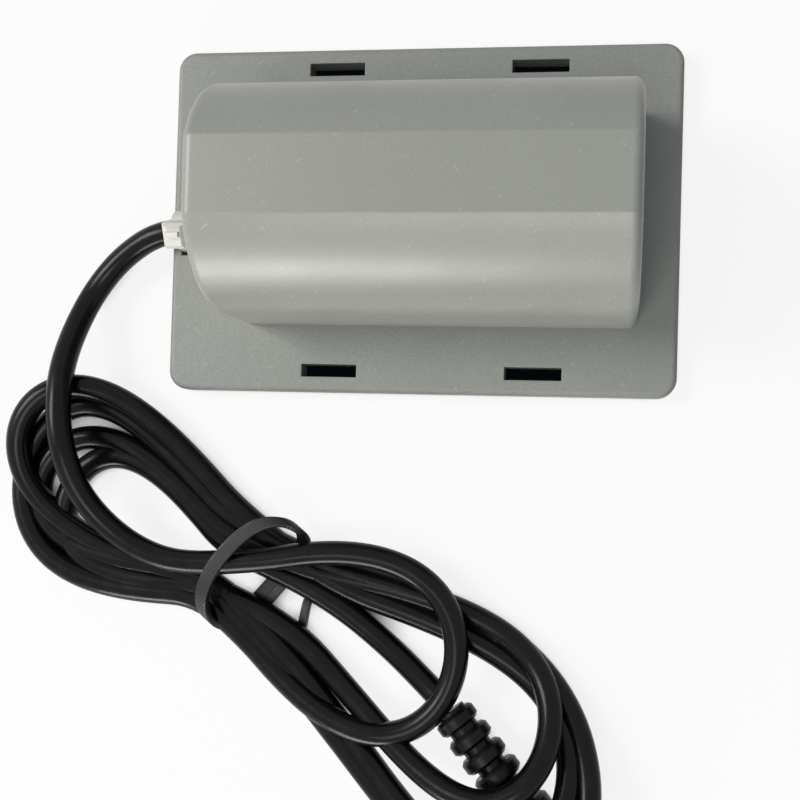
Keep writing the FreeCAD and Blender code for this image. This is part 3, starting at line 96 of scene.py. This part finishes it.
# The twist tie's loop round the waist of the hank, in millimetres: over the strands, down the
# far side, and back under them.
BAND_LOOP = [
    (-20.9, -63.4, 3.4), (-20.7, -61.4, 6.6), (-22.2, -59.7, 9.0), (-25.6, -58.9, 10.2),
    (-29.8, -60.3, 10.5), (-34.2, -64.4, 10.4), (-37.7, -69.0, 10.4), (-39.6, -73.7, 9.8),
    (-40.0, -77.5, 7.2), (-38.9, -80.0, 4.2), (-36.5, -80.6, 1.6), (-33.2, -77.6, 0.8),
    (-28.6, -72.4, 0.75), (-23.8, -66.9, 0.8),
]
BAND_TAILS = [
    [(-24.3, -70.4, 0.9), (-25.4, -71.8, 1.8), (-26.6, -73.2, 2.0), (-28.0, -74.9, 1.8),
     (-29.4, -76.6, 0.9)],
    [(-20.3, -73.6, 0.9), (-20.7, -75.4, 1.8), (-21.0, -77.2, 2.0), (-21.4, -79.2, 1.8),
     (-21.9, -81.4, 0.9)],
]
BAND_ACROSS = Vector((0.77, -0.63, 0.0)).normalized()
TAIL_ACROSS = Vector((0.90, -0.35, 0.1)).normalized()
TAIL_WIDTH_SHARE = 0.6

# Floor: how far it lies under the object, how near a thing paints shade on it, how far inside the plate's
# ends and sides it is painted dark as shade, and how much of what shows of it is its own light.
FLOOR_DROP = 0.2 * MM
FLOOR_SHADE_REACH = 4 * MM
PAINTED_SHADE_INSET_END = 4 * MM
PAINTED_SHADE_INSET_SIDE = 1.5 * MM
FLOOR_GLOW = 0.85
# The colour of the painted shade on the floor, near things and under the plate.
PAINTED_FLOOR_SHADE = "#05070A"
FLOOR_BOUNCE = "#8E9194"

# Soft boxes: name, place, width and depth in metres, power in watts, colour.
LAMPS = (
    ("upper_left", (-0.96, 0.24, 1.00), 0.55, 0.55, 12.5, "#FFFCF7"),
    ("overhead", (-0.10, -0.52, 1.26), 0.50, 0.50, 4.2, "#FFFDF8"),
    ("near_low", (-0.24, -0.62, 0.11), 0.34, 0.18, 2.8, "#FFFDF8"),
)
LAMPS_AIM = (0, 0, 0.01)
ROOM_COLOUR = "#D5DFEB"
ROOM_STRENGTH = 0.24

CAMERA_SENSOR = 36.0
CAMERA_LENS = 49.58
CAMERA_SHIFT = (-0.0899, 0.0577)
CAMERA_PLACE = (0.038565, -0.047463, 0.213981)
CAMERA_TURN = Matrix((
    (0.99147, -0.02546, 0.12786), (0.02794, 0.99945, -0.01761), (-0.12734, 0.02103, 0.99164)))


def linear(code):
    """An sRGB hex colour as linear RGBA."""
    values = [int(code[k:k + 2], 16) / 255 for k in (1, 3, 5)]
    return tuple(v / 12.92 if v <= 0.04045 else ((v + 0.055) / 1.055) ** 2.4 for v in values) + (1.0,)


def shade(colour, share):
    """The same colour lighter or darker."""
    return tuple(min(value * share, 1.0) for value in colour[:3]) + (1.0,)


def turn_points(direction, reach, width, fullness, start, end, lean, low, last, top, middle, half):
    """Control points of one turn of the hank, in metres."""
    along = Vector((math.cos(math.radians(direction)), math.sin(math.radians(direction))))
    across = Vector((-along.y, along.x))
    points = []
    for number in range(POINTS_PER_TURN):
        share = (number + 0.5) / POINTS_PER_TURN
        swell = math.sin(math.pi * share)
        out = reach * swell ** fullness
        side = width * math.sin(2 * math.pi * share) + lean * swell ** 2
        side += start * math.cos(math.pi * share / 2) ** 2 + end * math.sin(math.pi * share / 2) ** 2
        if low == last:
            off_top = min(abs(share - middle) / half, 1)
            height = low + (top - low) * math.cos(math.pi * off_top / 2) ** 2
        else:
            sinking = max(share - SINKS_AFTER, 0) / (1 - SINKS_AFTER)
            height = low + (last - low) * math.sin(math.pi * sinking / 2) ** 2
        place = Vector(WAIST) + (along * out + across * side) * MM
        points.append((place.x, place.y, height * MM))
    return points


# ---------------------------------------------------------------- sizes and colours


class VibroSizes(PropertyGroup):
    band_width: FloatProperty(name="Twist tie width", description="Width of the flat tie",
                              default=2.8 * MM, unit="LENGTH")
    band_thick: FloatProperty(name="Twist tie thickness", description="Thickness over the wire",
                              default=1.3 * MM, unit="LENGTH")
    floor_reach: FloatProperty(name="Floor", description="Half width of the floor",
                               default=3.0, unit="LENGTH")


def colour_of(label, note, code):
    return FloatVectorProperty(name=label, description=note, subtype="COLOR", size=4,
                               min=0.0, max=1.0, default=linear(code))


class VibroColours(PropertyGroup):
    cover: colour_of("Cover", "Filled nylon of the arched cover", "#999B95")
    plate: colour_of("Plate", "Filled nylon of the base plate", "#8B8E89")
    jacket: colour_of("Lead jacket", "Flexible PVC of the lead", "#0B0C0E")
    plug: colour_of("Plug moulding", "PVC moulded over the plug", "#0B0C0E")
    band: colour_of("Twist tie", "Plastic ribbon over a wire", "#161617")
    tie: colour_of("Cable tie", "Natural nylon", "#E4E3DC")
    floor: colour_of("Floor", "Plain pale floor", "#F4F4F4")


# ---------------------------------------------------------------- materials


def add_node(tree, kind, settings=None, links=None):
    """Adds a node, sets its attributes or sockets, and links other nodes' outputs to its inputs."""
    node = tree.nodes.new(kind)
    for key, value in (settings or {}).items():
        if isinstance(key, str) and hasattr(node, key):
            setattr(node, key, value)
        else:
            node.inputs[key].default_value = value
    for key, source in (links or {}).items():
        tree.links.new(source, node.inputs[key])
    return node


def start_material(name):
    """An empty material, and the Object coordinates that its patterns follow."""
    material = bpy.data.materials.new(name)
    material.use_nodes = True
    tree = material.node_tree
    tree.nodes.clear()
    return material, tree, add_node(tree, "ShaderNodeTexCoord").outputs["Object"]


def moulded_filled_nylon(name, colour, gloss_low, gloss_high, grain_mm, depth_mm):
    # Mineral-filled nylon from a spark-eroded mould: a sandy grain that breaks the highlight into
    # specks, slow clouds of gloss, short pale scratches from rubbing in two directions, and edges
    # rounded by a hair, made pale by a painted highlight along them.
    material, tree, place = start_material(name)
    sand = add_node(tree, "ShaderNodeTexNoise", {
        "Scale": 1 / (grain_mm * MM), "Detail": 3.0, "Roughness": 0.6}, {"Vector": place}).outputs["Fac"]
    cloud = add_node(tree, "ShaderNodeTexNoise", {
        "Scale": 1 / (16 * MM), "Detail": 3.0, "Roughness": 0.55}, {"Vector": place}).outputs["Fac"]
    marks = []
    for turn, long_mm in ((34, 3.0), (-48, 2.2)):
        drawn = add_node(tree, "ShaderNodeMapping", {
            "vector_type": "TEXTURE", "Rotation": (0.0, 0.0, math.radians(turn)),
            "Scale": (long_mm * MM, 0.5 * MM, 3 * MM)}, {"Vector": place}).outputs["Vector"]
        streaks = add_node(tree, "ShaderNodeTexNoise", {"Scale": 1.0, "Detail": 1.0},
                           {"Vector": drawn}).outputs["Fac"]
        marks.append(add_node(tree, "ShaderNodeMapRange", {
            "From Min": 0.75, "From Max": 0.785, "To Max": 0.8}, {"Value": streaks}).outputs["Result"])
    rounded = add_node(tree, "ShaderNodeBevel", {"samples": 4, "Radius": 0.35 * MM}).outputs["Normal"]
    facing = add_node(tree, "ShaderNodeNewGeometry").outputs["Normal"]
    agree = add_node(tree, "ShaderNodeVectorMath", {"operation": "DOT_PRODUCT"},
                     {0: rounded, 1: facing}).outputs["Value"]
    # Painted highlight: pale colour along the edges, where the rounded normal parts from the true one.
    edge = add_node(tree, "ShaderNodeMapRange", {
        "From Min": 0.93, "From Max": 0.99, "To Min": 0.55, "To Max": 0.0},
        {"Value": agree}).outputs["Result"]
    scratches_and_edge_highlight = add_node(tree, "ShaderNodeMath", {"operation": "MAXIMUM"},
                    {0: marks[0], 1: marks[1]}).outputs[0]
    scratches_and_edge_highlight = add_node(tree, "ShaderNodeMath", {"operation": "MAXIMUM"}, {0: scratches_and_edge_highlight, 1: edge}).outputs[0]
    speckled = add_node(tree, "ShaderNodeMapRange", {"From Min": 0.36, "From Max": 0.64},
                        {"Value": sand}).outputs["Result"]
    grains = add_node(tree, "ShaderNodeMix", {
        "data_type": "RGBA", 6: shade(colour, 0.92), 7: shade(colour, 1.08)}, {0: speckled}).outputs[2]
    clouded = add_node(tree, "ShaderNodeMapRange", {
        "From Min": 0.35, "From Max": 0.7, "To Max": 0.5}, {"Value": cloud}).outputs["Result"]
    toned = add_node(tree, "ShaderNodeMix", {"data_type": "RGBA", 7: shade(colour, 0.9)},
                     {0: clouded, 6: grains}).outputs[2]
    # Pales the colour on the scratches and, as a painted highlight, along the edges.
    scratched_and_highlit_colour = add_node(tree, "ShaderNodeMix", {"data_type": "RGBA", 7: shade(colour, 1.4)},
                      {0: scratches_and_edge_highlight, 6: toned}).outputs[2]
    gloss = add_node(tree, "ShaderNodeMapRange", {
        "From Min": 0.3, "From Max": 0.7, "To Min": gloss_low, "To Max": gloss_high},
        {"Value": cloud}).outputs["Result"]
    relief = add_node(tree, "ShaderNodeBump", {"Strength": 0.8, "Distance": depth_mm * MM},
                      {"Height": sand, "Normal": rounded}).outputs["Normal"]
    shader = add_node(tree, "ShaderNodeBsdfPrincipled", {"IOR": 1.53}, {
        "Base Color": scratched_and_highlit_colour, "Roughness": gloss, "Normal": relief}).outputs["BSDF"]
    add_node(tree, "ShaderNodeOutputMaterial", links={"Surface": shader})
    return material


def flexible_pvc(name, colour, roughness):
    # Plasticised PVC, extruded or moulded: almost smooth, with a satin line of light along it,
    # a greyish bloom in patches, and shallow handling dents 1.5 mm apart.
    material, tree, place = start_material(name)
    patches = add_node(tree, "ShaderNodeTexNoise", {
        "Scale": 1 / (5 * MM), "Detail": 5.0, "Roughness": 0.6}, {"Vector": place}).outputs["Fac"]
    dents = add_node(tree, "ShaderNodeTexNoise", {
        "Scale": 1 / (1.5 * MM), "Detail": 3.0}, {"Vector": place}).outputs["Fac"]
    bloom = add_node(tree, "ShaderNodeMapRange", {"From Min": 0.4, "From Max": 0.75},
                     {"Value": patches}).outputs["Result"]
    base = add_node(tree, "ShaderNodeMix", {"data_type": "RGBA", 6: colour, 7: shade(colour, 1.8)},
                    {0: bloom}).outputs[2]
    satin = add_node(tree, "ShaderNodeMapRange", {
        "From Min": 0.3, "From Max": 0.7, "To Min": roughness - 0.04, "To Max": roughness + 0.08},
        {"Value": patches}).outputs["Result"]
    relief = add_node(tree, "ShaderNodeBump", {"Strength": 0.5, "Distance": 0.02 * MM},
                      {"Height": dents}).outputs["Normal"]
    shader = add_node(tree, "ShaderNodeBsdfPrincipled", {"IOR": 1.52, "Specular IOR Level": 0.14}, {
        "Base Color": base, "Roughness": satin, "Normal": relief}).outputs["BSDF"]
    add_node(tree, "ShaderNodeOutputMaterial", links={"Surface": shader})
    return material


def ribbon_over_wire(colour):
    # Embossed plastic ribbon: dull, with fine cross ribs every 0.6 mm that catch a little light.
    material, tree, place = start_material("embossed_tie_ribbon")
    turned = add_node(tree, "ShaderNodeMapping", {"Rotation": (0.0, 0.0, math.radians(50))},
                      {"Vector": place}).outputs["Vector"]
    ribs = add_node(tree, "ShaderNodeTexWave", {
        "Scale": 2 * math.pi / (20 * 0.6 * MM), "Distortion": 0.6}, {"Vector": turned}).outputs["Fac"]
    fibre = add_node(tree, "ShaderNodeTexNoise", {"Scale": 1 / (0.35 * MM), "Detail": 4.0},
                     {"Vector": place}).outputs["Fac"]
    base = add_node(tree, "ShaderNodeMix", {
        "data_type": "RGBA", 6: shade(colour, 0.8), 7: shade(colour, 1.3)}, {0: fibre}).outputs[2]
    relief = add_node(tree, "ShaderNodeBump", {"Strength": 0.4, "Distance": 0.05 * MM},
                      {"Height": ribs}).outputs["Normal"]
    shader = add_node(tree, "ShaderNodeBsdfPrincipled", {
        "Roughness": 0.45, "IOR": 1.5, "Specular IOR Level": 0.35},
        {"Base Color": base, "Normal": relief}).outputs["BSDF"]
    add_node(tree, "ShaderNodeOutputMaterial", links={"Surface": shader})
    return material


def small_part_finish(name, code, roughness, metallic, grain_mm, depth_mm):
    """One of the finishes of the table, with its own grain, gloss and slight stains."""
    material, tree, place = start_material(name)
    colour = linear(code)
    grain = add_node(tree, "ShaderNodeTexNoise", {
        "Scale": 1 / (grain_mm * MM), "Detail": 3.0}, {"Vector": place}).outputs["Fac"]
    stains = add_node(tree, "ShaderNodeTexNoise", {
        "Scale": 1 / (grain_mm * 9 * MM), "Detail": 4.0, "Roughness": 0.6}, {"Vector": place}).outputs["Fac"]
    mottled = add_node(tree, "ShaderNodeMapRange", {"From Min": 0.35, "From Max": 0.7},
                       {"Value": stains}).outputs["Result"]
    base = add_node(tree, "ShaderNodeMix", {
        "data_type": "RGBA", 6: shade(colour, 1.06), 7: shade(colour, 0.86)}, {0: mottled}).outputs[2]
    gloss = add_node(tree, "ShaderNodeMapRange", {
        "From Min": 0.3, "From Max": 0.7,
        "To Min": max(roughness - 0.06, 0.04), "To Max": roughness + 0.06},
        {"Value": stains}).outputs["Result"]
    relief = add_node(tree, "ShaderNodeBump", {"Strength": 0.6, "Distance": depth_mm * MM},
                      {"Height": grain}).outputs["Normal"]
    shader = add_node(tree, "ShaderNodeBsdfPrincipled", {"Metallic": metallic}, {
        "Base Color": base, "Roughness": gloss, "Normal": relief}).outputs["BSDF"]
    add_node(tree, "ShaderNodeOutputMaterial", links={"Surface": shader})
    return material


# Finishes of the screws, the motor and the contacts: sRGB colour, roughness, metal, and the size
# and depth of the grain in millimetres.
FINISHES = {
    # Bright zinc on steel: pale bluish metal, faintly clouded.
    "zinc_plated_steel": ("#C9CACB", 0.30, 1.0, 0.5, 0.004),
    # Black oxide with an oil film: nearly black metal with soft highlights.
    "black_oxide_steel": ("#232426", 0.40, 1.0, 0.3, 0.004),
    # Moulded nitrile: dull black, dusty.
    "nitrile_rubber": ("#161616", 0.75, 0.0, 0.5, 0.02),
    # Drawn and plated motor can: bright with shallow draw marks.
    "drawn_plated_can": ("#B9BBBA", 0.27, 1.0, 0.8, 0.006),
    # Moulded acetal: black with a waxy gloss.
    "black_acetal": ("#1D1D1F", 0.42, 0.0, 0.5, 0.008),
    # Pressed and sintered bronze: brown-gold, open pored.
    "sintered_bronze": ("#9A7648", 0.48, 1.0, 0.15, 0.02),
    # Fired ferrite: charcoal ceramic, chalky.
    "fired_ferrite": ("#2E2F31", 0.62, 0.0, 0.3, 0.015),
    # Tempered strip: grey steel with a blued cast.
    "spring_steel": ("#8E9194", 0.34, 1.0, 0.5, 0.004),
    # Centreless ground shaft: mirror-like with a slight haze.
    "ground_steel": ("#C4C5C6", 0.18, 1.0, 0.3, 0.002),
    # Epoxy powder over laminations: muted green, orange-peel.
    "coated_laminations": ("#46604F", 0.50, 0.0, 0.5, 0.02),
    # Enamelled magnet wire: copper red under clear varnish.
    "enamelled_copper": ("#A04A22", 0.26, 0.9, 0.25, 0.03),
    # Turned copper: bright where the brushes run.
    "turned_copper": ("#C07A4C", 0.28, 1.0, 0.3, 0.004),
    # Unfilled nylon: milky and slightly waxy.
    "natural_nylon": ("#DEDCD2", 0.46, 0.0, 0.6, 0.01),
    # Pressed carbon: black with a metallic bloom.
    "brush_carbon": ("#202022", 0.66, 0.0, 0.2, 0.01),
    # Stamped brass tabs: yellow, lightly tarnished.
    "stamped_brass": ("#C4A05A", 0.30, 1.0, 0.4, 0.004),
    # Dipped ceramic disc: glossy blue lacquer.
    "dipped_ceramic": ("#2E5590", 0.22, 0.0, 0.8, 0.008),
    # Die-cast zinc: dull grey with casting skin.
    "die_cast_zinc": ("#8C8E8E", 0.50, 1.0, 0.5, 0.02),
    # PVC insulation in red and in black: glossy thin jacket.
    "red_insulation": ("#9A1C18", 0.34, 0.0, 0.5, 0.004),
    "black_insulation": ("#151516", 0.34, 0.0, 0.5, 0.004),
    # Nickel on brass: warm bright metal.
    "nickel_plate": ("#CFCCC4", 0.18, 1.0, 0.4, 0.002),
}
FINISH_NODES = {
    "zinc_plated_steel": ("cover_screws", "clamp_screws", "clamp_strap_left", "clamp_strap_right"),
    "black_oxide_steel": ("set_screws",),
    "nitrile_rubber": ("rubber_ring_left", "rubber_ring_right"),
    "drawn_plated_can": ("motor_can",),
    "black_acetal": ("end_cap", "commutator_core"),
    "sintered_bronze": ("bearing_rear", "bearing_front"),
    "fired_ferrite": ("magnet_upper", "magnet_lower"),
    "spring_steel": ("magnet_clips",),
    "ground_steel": ("motor_shaft",),
    "coated_laminations": ("armature_core",),
    "enamelled_copper": ("windings",),
    "turned_copper": ("commutator_segments", "brush_arm_near", "brush_arm_far"),
    "natural_nylon": ("thrust_washers",),
    "brush_carbon": ("carbon_brush_near", "carbon_brush_far"),
    "stamped_brass": ("terminal_near", "terminal_far"),
    "dipped_ceramic": ("suppression_capacitor",),
    "die_cast_zinc": ("weight_left", "weight_right"),
    "red_insulation": ("lead_red",),
    "black_insulation": ("lead_black",),
    "nickel_plate": ("plug_barrel", "plug_contact"),
}


def set_material(piece, material):
    piece.data.materials.clear()
    piece.data.materials.append(material)


# ---------------------------------------------------------------- pieces


def add_piece(name, data, body="housing"):
    piece = bpy.data.objects.new(name, data)
    bpy.context.scene.collection.objects.link(piece)
    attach(piece, body)
    return piece


class VIBRO_OT_lead(Operator):
    """Lay the lead from the cover to the plug, wound into a loosely tied hank"""
    bl_idname = "vibro.lead"
    bl_label = "Lead"

    def execute(self, context):
        points = LEAD_ROUTE + OVER_HANK
        for turn in TURNS:
            points += turn_points(*turn)
        points += TO_PLUG
        curve = bpy.data.curves.new("lead", "CURVE")
        curve.dimensions = "3D"
        spline = curve.splines.new("NURBS")
        spline.points.add(len(points) - 1)
        for point, place in zip(spline.points, points):
            point.co = (*place, 1.0)
            point.radius = LEAD_DIAMETER / 2
        spline.order_u = 3
        spline.use_endpoint_u = True
        spline.resolution_u = 6
        curve.bevel_depth = 1.0
        curve.bevel_resolution = 5
        curve.use_fill_caps = True
        piece = add_piece("lead", curve)
        set_material(piece, flexible_pvc("extruded_pvc_jacket", context.scene.vibro_colours.jacket, 0.21))
        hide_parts("cord_lead", "cord_hank")
        return {"FINISHED"}


class VIBRO_OT_twist_tie(Operator):
    """Wrap the flat tie round the hank's waist and leave its two short tails"""
    bl_idname = "vibro.twist_tie"
    bl_label = "Twist Tie"

    def execute(self, context):
        sizes = context.scene.vibro_sizes
        shape = bmesh.new()
        runs = [(BAND_LOOP + BAND_LOOP[:1], BAND_ACROSS, 1.0)]
        runs += [(tail, TAIL_ACROSS, TAIL_WIDTH_SHARE) for tail in BAND_TAILS]
        for stations, across, share in runs:
            half = across * sizes.band_width / 2 * share
            first = [shape.verts.new(Vector(stations[0]) * MM + half * side) for side in (-1, 1)]
            edge = shape.edges.new(first)
            for place in stations[1:]:
                grown = bmesh.ops.extrude_edge_only(shape, edges=[edge])["geom"]
                edge = next(item for item in grown if isinstance(item, bmesh.types.BMEdge))
                ends = sorted(edge.verts, key=lambda vert: vert.co.dot(half))
                for corner, side in zip(ends, (-1, 1)):
                    corner.co = Vector(place) * MM + half * side
        bmesh.ops.remove_doubles(shape, verts=shape.verts[:], dist=0.02 * MM)
        bmesh.ops.recalc_face_normals(shape, faces=shape.faces[:])
        mesh = bpy.data.meshes.new("tie_ribbon")
        shape.to_mesh(mesh)
        shape.free()
        piece = add_piece("tie_ribbon", mesh)
        smooth = piece.modifiers.new("Curve of the band", "SUBSURF")
        smooth.levels = smooth.render_levels = 2
        wall = piece.modifiers.new("Thickness", "SOLIDIFY")
        wall.thickness = sizes.band_thick
        wall.offset = 0.0
        edges = piece.modifiers.new("Rounded edges", "BEVEL")
        edges.width = sizes.band_thick * 0.35
        edges.segments = 2
        edges.limit_method = "ANGLE"
        mesh.shade_smooth()
        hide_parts("twist_tie")
        set_material(piece, ribbon_over_wire(context.scene.vibro_colours.band))
        return {"FINISHED"}


class VIBRO_OT_mouldings(Operator):
    """Give the base plate and the cover their moulded finish"""
    bl_idname = "vibro.mouldings"
    bl_label = "Plate and Cover"

    def execute(self, context):
        colours = context.scene.vibro_colours
        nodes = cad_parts
        satin = moulded_filled_nylon("satin_filled_nylon", colours.cover, 0.32, 0.40, 0.3, 0.03)
        matt = moulded_filled_nylon("matt_filled_nylon", colours.plate, 0.42, 0.52, 0.42, 0.075)
        set_material(nodes["housing_cover"], satin)
        set_material(nodes["base_plate"], matt)
        return {"FINISHED"}


class VIBRO_OT_tie_and_plug(Operator):
    """Finish the cable tie and the plug's mouldings"""
    bl_idname = "vibro.tie_and_plug"
    bl_label = "Cable Tie and Plug"

    def execute(self, context):
        colours = context.scene.vibro_colours
        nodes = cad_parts
        # Natural nylon, moulded and pulled tight: milky, slightly uneven gloss.
        material, tree, place = start_material("cable_tie_nylon")
        milk = add_node(tree, "ShaderNodeTexNoise", {"Scale": 1 / (1.8 * MM), "Detail": 3.0},
                        {"Vector": place}).outputs["Fac"]
        base = add_node(tree, "ShaderNodeMix", {
            "data_type": "RGBA", 6: shade(colours.tie, 0.86), 7: colours.tie}, {0: milk}).outputs[2]
        relief = add_node(tree, "ShaderNodeBump", {"Strength": 0.4, "Distance": 0.03 * MM},
                          {"Height": milk}).outputs["Normal"]
        shader = add_node(tree, "ShaderNodeBsdfPrincipled", {
            "Roughness": 0.38, "IOR": 1.53, "Subsurface Weight": 0.15, "Subsurface Scale": MM},
            {"Base Color": base, "Normal": relief}).outputs["BSDF"]
        add_node(tree, "ShaderNodeOutputMaterial", links={"Surface": shader})
        set_material(nodes["cable_tie"], material)
        moulding = flexible_pvc("overmoulded_pvc", colours.plug, 0.30)
        for node in ("plug_body", "plug_insulator"):
            set_material(nodes[node], moulding)
        return {"FINISHED"}


class VIBRO_OT_inner_parts(Operator):
    """Give the motor, the weights, the screws and the contacts their finishes"""
    bl_idname = "vibro.inner_parts"
    bl_label = "Motor and Small Parts"

    def execute(self, context):
        for name, values in FINISHES.items():
            finish = small_part_finish(name, *values)
            for node in FINISH_NODES[name]:
                set_material(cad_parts[node], finish)
        return {"FINISHED"}


# ---------------------------------------------------------------- stage


class VIBRO_OT_stage(Operator):
    """Set the floor, the soft light and the camera"""
    bl_idname = "vibro.stage"
    bl_label = "Stage"

    def execute(self, context):
        scene = context.scene
        scene.view_settings.view_transform = "Standard"
        mesh = bpy.data.meshes.new("floor")
        shape = bmesh.new()
        bmesh.ops.create_grid(shape, x_segments=1, y_segments=1, size=scene.vibro_sizes.floor_reach)
        bmesh.ops.translate(shape, verts=shape.verts[:], vec=(0.0, 0.0, -FLOOR_DROP))
        shape.to_mesh(mesh)
        shape.free()
        floor = bpy.data.objects.new("floor", mesh)
        scene.collection.objects.link(floor)

        # Matt paper: white where it is open, with painted shade close to the strands and the plate, and
        # painted dark as shade where the plate stands on it, which only its slots show.
        material, tree, place = start_material("matt_paper_floor")
        rays = add_node(tree, "ShaderNodeLightPath").outputs
        seen = add_node(tree, "ShaderNodeMath", {"operation": "MAXIMUM"},
                        {0: rays["Is Camera Ray"], 1: rays["Is Glossy Ray"]}).outputs[0]
        seen = add_node(tree, "ShaderNodeMath", {"operation": "MAXIMUM"},
                        {0: seen, 1: rays["Is Transmission Ray"]}).outputs[0]
        open_sky = add_node(tree, "ShaderNodeAmbientOcclusion", {
            "samples": 16, "Distance": FLOOR_SHADE_REACH}).outputs["AO"]
        # Painted shade close to the strands and the plate: the floor darkens where little sky reaches it.
        shadow = add_node(tree, "ShaderNodeMapRange", {
            "From Min": 0.1, "From Max": 0.55}, {"Value": open_sky}).outputs["Result"]
        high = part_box("base_plate")[1]
        offset = add_node(tree, "ShaderNodeVectorMath", {"operation": "ABSOLUTE"},
                          {0: place}).outputs["Vector"]
        sides = add_node(tree, "ShaderNodeSeparateXYZ", links={0: offset}).outputs
        # Painted shade under the plate: dark inside the plate's box, less the insets.
        past_end = add_node(tree, "ShaderNodeMath", {
            "operation": "GREATER_THAN", 1: high[0] - PAINTED_SHADE_INSET_END}, {0: sides["X"]}).outputs[0]
        past_side = add_node(tree, "ShaderNodeMath", {
            "operation": "GREATER_THAN", 1: high[1] - PAINTED_SHADE_INSET_SIDE}, {0: sides["Y"]}).outputs[0]
        clear = add_node(tree, "ShaderNodeMath", {"operation": "MAXIMUM"},
                         {0: past_end, 1: past_side}).outputs[0]
        # 1 where the floor is open, 0 where the painted shade lies.
        unshaded_share = add_node(tree, "ShaderNodeMath", {"operation": "MULTIPLY"},
                           {0: shadow, 1: clear}).outputs[0]
        paper = add_node(tree, "ShaderNodeMix", {
            "data_type": "RGBA", 6: linear(FLOOR_BOUNCE), 7: scene.vibro_colours.floor}, {0: seen}).outputs[2]
        shown = add_node(tree, "ShaderNodeMix", {"data_type": "RGBA", 6: linear(PAINTED_FLOOR_SHADE)},
                         {0: unshaded_share, 7: paper}).outputs[2]
        # The floor's own light is darkened by the same painted shade.
        white = add_node(tree, "ShaderNodeMix", {
            "data_type": "RGBA", 6: linear(PAINTED_FLOOR_SHADE), 7: (1.0, 1.0, 1.0, 1.0)}, {0: unshaded_share}).outputs[2]
        lit = add_node(tree, "ShaderNodeBsdfDiffuse", links={"Color": shown}).outputs["BSDF"]
        glow = add_node(tree, "ShaderNodeEmission", {"Strength": 1.0}, {"Color": white}).outputs["Emission"]
        share = add_node(tree, "ShaderNodeMath", {
            "operation": "MULTIPLY", 1: FLOOR_GLOW}, {0: seen}).outputs[0]
        both = add_node(tree, "ShaderNodeMixShader", links={0: share, 1: lit, 2: glow}).outputs[0]
        add_node(tree, "ShaderNodeOutputMaterial", links={"Surface": both})
        set_material(floor, material)

        world = bpy.data.worlds.new("studio")
        scene.world = world
        world.use_nodes = True
        tree = world.node_tree
        tree.nodes.clear()
        soft = add_node(tree, "ShaderNodeBackground", {
            "Color": linear(ROOM_COLOUR), "Strength": ROOM_STRENGTH})
        white = add_node(tree, "ShaderNodeBackground", {"Color": (1.0, 1.0, 1.0, 1.0), "Strength": 1.0})
        rays = add_node(tree, "ShaderNodeLightPath").outputs
        seen = add_node(tree, "ShaderNodeMath", {"operation": "MAXIMUM"},
                        {0: rays["Is Camera Ray"], 1: rays["Is Glossy Ray"]}).outputs[0]
        seen = add_node(tree, "ShaderNodeMath", {"operation": "MAXIMUM"},
                        {0: seen, 1: rays["Is Transmission Ray"]}).outputs[0]
        mixed = add_node(tree, "ShaderNodeMixShader", links={
            0: seen, 1: soft.outputs[0], 2: white.outputs[0]})
        add_node(tree, "ShaderNodeOutputWorld", links={"Surface": mixed.outputs[0]})

        for name, place, width, depth, watts, code in LAMPS:
            light = bpy.data.lights.new(name, "AREA")
            light.shape = "RECTANGLE"
            light.size = width
            light.size_y = depth
            light.energy = watts
            light.color = linear(code)[:3]
            lamp = bpy.data.objects.new(name, light)
            scene.collection.objects.link(lamp)
            lamp.visible_camera = False
            lamp.location = place
            lamp.rotation_mode = "QUATERNION"
            lamp.rotation_quaternion = (Vector(LAMPS_AIM) - Vector(place)).to_track_quat("-Z", "Y")

        data = bpy.data.cameras.new("camera")
        data.sensor_width = CAMERA_SENSOR
        data.lens = CAMERA_LENS
        data.shift_x, data.shift_y = CAMERA_SHIFT
        camera = bpy.data.objects.new("camera", data)
        scene.collection.objects.link(camera)
        camera.matrix_world = Matrix.Translation(CAMERA_PLACE) @ CAMERA_TURN.to_4x4()
        scene.camera = camera
        return {"FINISHED"}


class VIBRO_PT_panel(Panel):
    """Lists the operators that make the looks"""
    bl_label = "Vibration Motor"
    bl_space_type = "VIEW_3D"
    bl_region_type = "UI"
    bl_category = "Vibration Motor"

    def draw(self, context):
        for operator in OPERATORS:
            self.layout.operator(operator.bl_idname)
        for group in (context.scene.vibro_sizes, context.scene.vibro_colours):
            for name in group.__annotations__:
                self.layout.prop(group, name)


OPERATORS = (
    VIBRO_OT_stage, VIBRO_OT_twist_tie, VIBRO_OT_lead, VIBRO_OT_mouldings, VIBRO_OT_tie_and_plug,
    VIBRO_OT_inner_parts,
)
CLASSES = (VibroSizes, VibroColours, *OPERATORS, VIBRO_PT_panel)


def register():
    for item in CLASSES:
        bpy.utils.register_class(item)
    bpy.types.Scene.vibro_sizes = PointerProperty(type=VibroSizes)
    bpy.types.Scene.vibro_colours = PointerProperty(type=VibroColours)


def unregister():
    del bpy.types.Scene.vibro_colours
    del bpy.types.Scene.vibro_sizes
    for item in reversed(CLASSES):
        bpy.utils.unregister_class(item)


def main():
    register()
    for operator in OPERATORS:
        group, name = operator.bl_idname.split(".")
        getattr(getattr(bpy.ops, group), name)()


if __name__ == "__main__":
    main()
